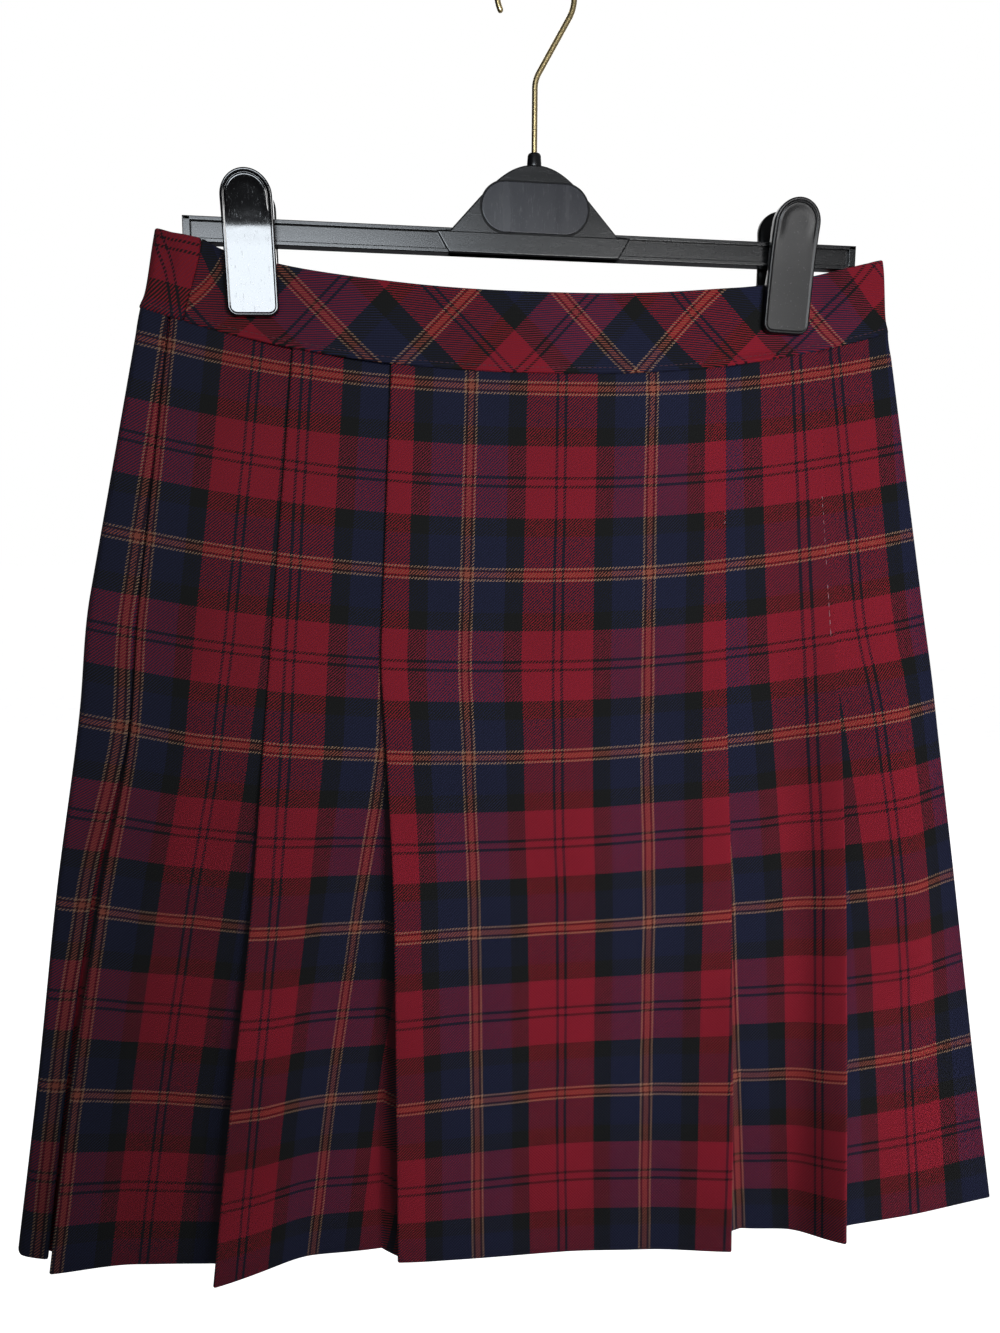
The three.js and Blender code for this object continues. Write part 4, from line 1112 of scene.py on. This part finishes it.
def crest_outline():
    shoulder_top = CREST_HALF + 7
    shoulder_foot = CREST_HALF + 1
    foot = BAR_TOP_Z - BAR_HEIGHT
    flank_z = CREST_TOP_Z - FLANK_DROP
    right = [(shoulder_foot, foot), (shoulder_top, BAR_TOP_Z - BAR_LEDGE),
             (shoulder_top, BAR_TOP_Z - 1.5), (CREST_HALF, BAR_TOP_Z - 1)]
    pulls = [(FLANK_X, flank_z), (FLANK_X - 11, CREST_TOP_Z - 5), (10, CREST_TOP_Z), (0, CREST_TOP_Z)]
    for k in range(15):
        t = k / 14
        weights = ((1 - t) ** 3, 3 * t * (1 - t) ** 2, 3 * t * t * (1 - t), t ** 3)
        right.append(tuple(sum(w * pull[i] for w, pull in zip(weights, pulls)) for i in range(2)))
    left = [(-x, z) for x, z in right[-2::-1]]
    return np.array(right + left)


def hanger_bar():
    foot = BAR_TOP_Z - BAR_HEIGHT
    half = BAR_DEPTH / 2
    web = half - BAR_RECESS
    top_rail = densify(box_outline(-BAR_HALF, BAR_HALF, BAR_TOP_Z - BAR_LEDGE, BAR_TOP_Z), 12)
    foot_rail = densify(box_outline(-BAR_HALF, BAR_HALF, foot, foot + BAR_LEDGE), 12)
    face = densify(box_outline(-BAR_HALF + 1, BAR_HALF - 1, foot + 0.5, BAR_TOP_Z - 0.5), 12)
    parts = [plate(top_rail, -half, half, 0.45), plate(foot_rail, -half, half, 0.45)]
    parts.append(plate(face, -web, web, 0.1, 1))
    for side in (-1, 1):
        inner, outer = sorted((side * (BAR_HALF - 4), side * BAR_HALF))
        parts.append(plate(densify(box_outline(inner, outer, foot, BAR_TOP_Z), 3), -half, half, 0.5))
    parts.append(plate(densify(crest_outline(), 3), -half - CREST_PROUD, half + CREST_PROUD, 0.9))
    neck = [(0, CREST_TOP_Z - 4), (NECK_RADIUS, CREST_TOP_Z - 4), (NECK_RADIUS, CREST_TOP_Z + 1.5),
            (NECK_RADIUS - 0.3, NECK_TOP_Z - 1.2), (NECK_RADIUS - 0.6, NECK_TOP_Z - 0.4),
            (NECK_RADIUS - 1.1, NECK_TOP_Z), (0, NECK_TOP_Z)]
    parts.append(lathe(neck))
    obj = make_mesh("hanger_bar_visual", *gather(parts), bar_plastic)
    return finish_piece(flat_shaded(obj), "hanger_plastic", "hanger_bar")


def hanger_badge():
    r = BADGE_HEIGHT / 2
    outline = densify(rounded_outline(BADGE_WIDTH / 2, BADGE_Z + r, BADGE_Z - r, r, 16), 3)
    front = -BAR_DEPTH / 2 - CREST_PROUD - 0.8
    obj = make_mesh("hanger_badge_visual", *plate(outline, front, front + 1.3, 0.35), badge_face)
    finish_piece(flat_shaded(obj), "badge_plastic", "hanger_badge")
    # painted shade: a near-black plate stands in for the shadow in the gap round it
    gap = offset_outline(outline, -0.9)
    line = make_mesh("badge_gap_shade", *plate(gap, front + 0.62, front + 1.2, 0.1, 1), painted_gap_shade)
    finish_piece(line, "badge_plastic")


def tube(path, radius, sides=16):
    """A round wire along a path, rounded at its last end: vertices and faces."""
    path = np.array(path)
    runs = unit_rows(np.gradient(path, axis=0))
    stations = [(p, r, radius) for p, r in zip(path, runs)]
    for a in (0.45, 0.9, 1.3):
        tip = path[-1] + runs[-1] * radius * math.sin(a) * 0.9
        stations.append((tip, runs[-1], radius * math.cos(a)))
    verts = []
    for place, run, size in stations:
        side = np.array([0.0, 1.0, 0.0])
        other = np.cross(run, side)
        for k in range(sides):
            a = 2 * math.pi * k / sides
            verts.append(place + size * (math.cos(a) * side + math.sin(a) * other))
    return verts, stacked_faces(sides, len(stations))


def hook_path():
    centre_z = HOOK_WIRE / 2 - HOOK_RADIUS
    drop = centre_z - HOOK_BEND_Z
    start = -math.pi / 2 + math.acos(HOOK_RADIUS / drop)
    meet = np.array([HOOK_RADIUS * math.cos(start), 0, centre_z + HOOK_RADIUS * math.sin(start)])
    bend = np.array([0.0, 0.0, HOOK_BEND_Z])
    slant = unit(meet - bend)
    soften = 4
    below = bend - np.array([0, 0, soften])
    beyond = bend + slant * soften
    path = [np.array([0, 0, z]) for z in np.linspace(HOOK_FOOT_Z, below[2], 12)[:-1]]
    path += [(1 - t) ** 2 * below + 2 * t * (1 - t) * bend + t * t * beyond
             for t in np.linspace(0, 1, 9)[:-1]]
    path += [beyond + (meet - beyond) * t for t in np.linspace(0, 1, 9)[:-1]]
    for a in np.linspace(start, math.radians(HOOK_END_ANGLE), 64):
        path.append(np.array([HOOK_RADIUS * math.cos(a), 0, centre_z + HOOK_RADIUS * math.sin(a)]))
    return path


def hanger_hook():
    obj = make_mesh("hanger_hook_visual", *tube(hook_path(), HOOK_WIRE / 2), brass)
    return finish_piece(flat_shaded(obj), "hook_brass", "hanger_hook")


hanger_bar()
hanger_badge()
hanger_hook()

# ---------------------------------------------------------------- clips

PAD = 2.85                  # inner face of the pad on the pinched band
LEVER_INNER = ([CLIP_BOTTOM_Z, -160, -155, -150, -131, CLIP_TOP_Z], [PAD, PAD, 4.2, 5.9, 6.8, 10.8])
LEVER_OUTER = ([CLIP_BOTTOM_Z, -170, -158, -148, -139, -132, CLIP_TOP_Z],
               [7.4, 8.0, 8.75, 9.55, 10.55, 11.7, 15.4])
CORNER_RADIUS = 5.0
DISH_FOOT_Z = -131.5
DISH_DEPTH = 0.3
SPRING_WIDTH = 11.0
SPRING_THICK = 0.8
SPRING_INNER = 4.8
SPRING_FOOT_Z = -146.0
RIB_HALF = 6.0
RIB_REACH = 7.0
RIB_Z = (-150.4, -147.2)
ROUND_PARTS = 20            # pieces in half of a lever's round top
SIDE_PARTS = 22
FOOT_PARTS = 6
FOOT_SPAN = 5               # points of a lever's outline from the middle of its foot to its corner
EDGE_ROUND = 0.9            # reach of the rounding along a lever's edge
RIM_AT = 2.2                # the groove inside the rim of a lever's dish
RIM_WIDTH = 0.45
RIM_DEPTH = 0.35
PLATE_STEP = 0.25           # how far the lower plate lies below its edge


def lever_ring(inset):
    """The lever's outline moved inwards: from the middle of its foot, round by the right side, back again."""
    half = CLIP_WIDTH / 2 - inset
    foot = CLIP_BOTTOM_Z + inset
    corner = max(CORNER_RADIUS - inset, 0.15)
    corner = min(corner, half)
    spring_line = CLIP_TOP_Z - CLIP_WIDTH / 2
    right = [(t * (half - corner), foot) for t in np.linspace(0, 1, 5)[:-1]]
    for k in range(FOOT_PARTS):
        a = math.radians(-90 + 90 * k / FOOT_PARTS)
        right.append((half - corner + corner * math.cos(a), foot + corner + corner * math.sin(a)))
    for k in range(SIDE_PARTS):
        right.append((half, foot + corner + (spring_line - foot - corner) * k / SIDE_PARTS))
    for k in range(ROUND_PARTS + 1):
        a = math.radians(90 * k / ROUND_PARTS)
        right.append((half * math.cos(a), spring_line + half * math.sin(a)))
    left = [(-x, z) for x, z in right[-2:0:-1]]
    return np.array(right + left)


def smooth_step(a, b, x):
    t = np.clip((x - a) / (b - a), 0, 1)
    return t * t * (3 - 2 * t)


def lever_relief(inset, z):
    """How far the outer face lies below its plain profile: a rounded edge, and a rimmed dish at the top."""
    past = 1 - min(inset, EDGE_ROUND) / EDGE_ROUND
    edge = EDGE_ROUND * (1 - math.sqrt(max(0.0, 1 - past ** 2)))
    above = smooth_step(DISH_FOOT_Z - 4, DISH_FOOT_Z + 4, z)
    groove = RIM_DEPTH * math.exp(-((inset - RIM_AT) / RIM_WIDTH) ** 2)
    dish = DISH_DEPTH * smooth_step(2.9, 6.5, inset)
    plate_edge = PLATE_STEP * smooth_step(1.0, 1.9, inset) * (1 - above)
    return edge + above * (groove + dish) + plate_edge


def lever(face):
    insets = [0.0, 0.1, 0.3, 0.6, 0.9, 1.3, 1.6, 1.9, 2.2, 2.5, 2.8, 3.4, 4.2, 5.2, 6.5, 8.0, 9.5, 11.0, 12.2]
    verts, faces, rings = [], [], []

    def add_ring(inset, depth_of):
        ring = lever_ring(inset)
        first = len(verts)
        for x, z in ring:
            verts.append((x, face * depth_of(z), z))
        rings.append(list(range(first, first + len(ring))))

    def outer(z, inset):
        return np.interp(z, *LEVER_OUTER) - lever_relief(inset, z)

    for inset in reversed(insets):
        add_ring(inset, lambda z, inset=inset: outer(z, inset))
    for inset in (0.0, 0.3):
        rest = 0.5 - inset
        add_ring(inset, lambda z, rest=rest: np.interp(z, *LEVER_INNER) + max(rest, 0))
    add_ring(0.6, lambda z: np.interp(z, *LEVER_INNER))
    for inset in (3.0, 6.5, 10.0, 12.2):
        add_ring(inset, lambda z: np.interp(z, *LEVER_INNER))
    for a, b in zip(rings, rings[1:]):
        faces += join_rings(a, b)
    for ring, flip in ((rings[0], 1), (rings[-1], -1)):
        n = len(ring)
        faces.append([ring[k] for k in range(-FOOT_SPAN, FOOT_SPAN + 1)][::flip])
        for k in range(FOOT_SPAN, n // 2):
            quad = [ring[k], ring[k + 1], ring[(n - k - 1) % n], ring[(n - k) % n]]
            quad = [v for i, v in enumerate(quad) if v not in quad[:i]]
            if len(quad) > 2:
                faces.append(quad[::flip])
    return verts, faces


def rib(face):
    y0, y1 = sorted((face * 0.3, face * RIB_REACH))
    return plate(box_outline(-RIB_HALF, RIB_HALF, *RIB_Z), y0, y1, 0.3)


def bent_strip(path, thickness, width, rounding=0.25):
    """A strip of sheet bent along a path in Y and Z: vertices and faces."""
    path = np.array(path)
    runs = unit_rows(np.gradient(path, axis=0))
    normals = np.column_stack([-runs[:, 1], runs[:, 0]])
    half_w, half_t = width / 2, thickness / 2
    section = []
    corners = ((half_w, half_t, 0), (-half_w, half_t, 90), (-half_w, -half_t, 180), (half_w, -half_t, 270))
    for cx, ct, start in corners:
        for k in range(3):
            a = math.radians(start + 45 * k)
            section.append((cx - math.copysign(rounding, cx) + rounding * math.cos(a),
                            ct - math.copysign(rounding, ct) + rounding * math.sin(a)))
    verts = []
    for place, normal in zip(path, normals):
        verts += [(x, place[0] + normal[0] * t, place[1] + normal[1] * t) for x, t in section]
    return verts, stacked_faces(len(section), len(path))


def spring_path():
    reach = SPRING_INNER + SPRING_THICK / 2
    top = BAR_TOP_Z + 0.5 + SPRING_THICK / 2
    r = 1.6
    path = [(-reach, z) for z in np.linspace(SPRING_FOOT_Z, top - r, 8)]
    quarter = np.linspace(0, math.pi / 2, 6)
    path += [(-reach + r - r * math.cos(a), top - r + r * math.sin(a)) for a in quarter[1:]]
    path += [(y, top) for y in np.linspace(-reach + r, reach - r, 6)[1:-1]]
    path += [(reach - r + r * math.sin(a), top - r + r * math.cos(a)) for a in quarter]
    path += [(reach, z) for z in np.linspace(top - r, SPRING_FOOT_Z, 8)[1:]]
    return path


def place_clip(obj, side):
    """Puts a piece made at the middle of the bar where its clip hangs, leaning as the clip does."""
    pivot = Vector((0, 0, BAR_TOP_Z * MM))
    lean = Matrix.Translation(pivot) @ Matrix.Rotation(-CLIP_TILT[side], 4, "Y") @ Matrix.Translation(-pivot)
    obj.data.transform(Matrix.Translation((CLIP_X[side] * MM, 0, 0)) @ lean)
    return obj


def clip(side):
    for where, face in (("front", -1), ("back", 1)):
        node = f"clip_{side}_jaw_{where}"
        gloss = side == "left" and where == "front"
        material = gloss_plastic if gloss else satin_plastic
        obj = make_mesh(f"{node}_visual", *gather([lever(face), rib(face)]), material)
        place_clip(obj, side)
        finish_piece(obj, "clip_gloss" if gloss else "clip_satin", node)
    node = f"clip_{side}_spring"
    obj = make_mesh(f"{node}_visual", *bent_strip(spring_path(), SPRING_THICK, SPRING_WIDTH), steel)
    place_clip(flat_shaded(obj), side)
    finish_piece(obj, "spring_steel", node)


clip("left")
clip("right")

# ---------------------------------------------------------------- floor, world and lights

FLOOR_Z = -900.0


def floor():
    """Pale paper, which glows a little so that it stays near white in this soft light."""
    material, n, shader = new_material("floor_paper")
    grain = n.noise(30, 3.0, n.add("ShaderNodeTexCoord").outputs["Object"])
    paper = n.ramp(grain, greys((0.3, 0.80), (0.7, 0.84)))
    n.link(paper, shader.inputs["Base Color"])
    n.link(paper, shader.inputs["Emission Color"])
    shader.inputs["Emission Strength"].default_value = 1.14
    shader.inputs["Roughness"].default_value = 0.9
    bpy.ops.mesh.primitive_plane_add(size=30.0, location=(0, 0, FLOOR_Z * MM))
    obj = bpy.context.active_object
    obj.name = "floor"
    obj.data.materials.append(material)
    obj.visible_diffuse = False
    obj.visible_glossy = False


def world():
    """White where the camera looks past the skirt, and a dim room, darker on the left, for its light."""
    world = bpy.data.worlds.new("studio")
    bpy.context.scene.world = world
    world.use_nodes = True
    tree = world.node_tree
    tree.nodes.clear()
    n = Nodes(tree)
    parts = n.add("ShaderNodeSeparateXYZ")
    n.link(n.add("ShaderNodeTexCoord").outputs["Generated"], parts.inputs[0])
    side = n.plus(n.times(parts.outputs[0], 0.5), 0.5)
    room = n.add("ShaderNodeBackground")
    n.link(n.ramp(side, [(0.15, (0.018, 0.018, 0.022)), (0.9, (0.16, 0.16, 0.17))]), room.inputs["Color"])
    sheet = n.add("ShaderNodeBackground")
    sheet.inputs["Color"].default_value = (1, 1, 1, 1)
    seen = n.add("ShaderNodeLightPath").outputs["Is Camera Ray"]
    mix = n.add("ShaderNodeMixShader")
    n.link(seen, mix.inputs[0])
    n.link(room.outputs[0], mix.inputs[1])
    n.link(sheet.outputs[0], mix.inputs[2])
    output = n.add("ShaderNodeOutputWorld")
    n.link(mix.outputs[0], output.inputs["Surface"])


def aimed_light(name, data, place, target, power):
    data.energy = power
    light = bpy.data.objects.new(name, data)
    light.location = place
    light.rotation_euler = (Vector(target) - Vector(place)).to_track_quat("-Z", "Y").to_euler()
    bpy.context.scene.collection.objects.link(light)
    light.visible_camera = False
    return light


def area_light(name, place, target, size, power):
    data = bpy.data.lights.new(name, "AREA")
    data.shape = "RECTANGLE"
    data.size, data.size_y = size
    return aimed_light(name, data, place, target, power)


def spot_light(name, place, target, cone, radius, power):
    data = bpy.data.lights.new(name, "SPOT")
    data.spot_size = math.radians(cone)
    data.spot_blend = 1.0
    data.shadow_soft_size = radius
    return aimed_light(name, data, place, target, power)


floor()
world()
spot_light("key_high", (0.34, -1.12, -0.20), (0.12, 0.0, -0.28), 50, 0.2, 36)
spot_light("key_low", (0.64, -1.0, -0.84), (0.16, 0.0, -0.79), 40, 0.15, 30)
gloss = area_light("gloss_card", (-0.28, -1.2, 0.0), (-0.12, 0.0, -0.15), (0.62, 0.26), 13)
gloss.visible_diffuse = False
gloss.data.color = (0.86, 0.93, 1.0)
area_light("back", (0.3, 1.5, 0.6), (0.0, 0.0, -0.35), (1.5, 1.5), 16)
make_camera()
bpy.context.scene.view_settings.view_transform = "Standard"
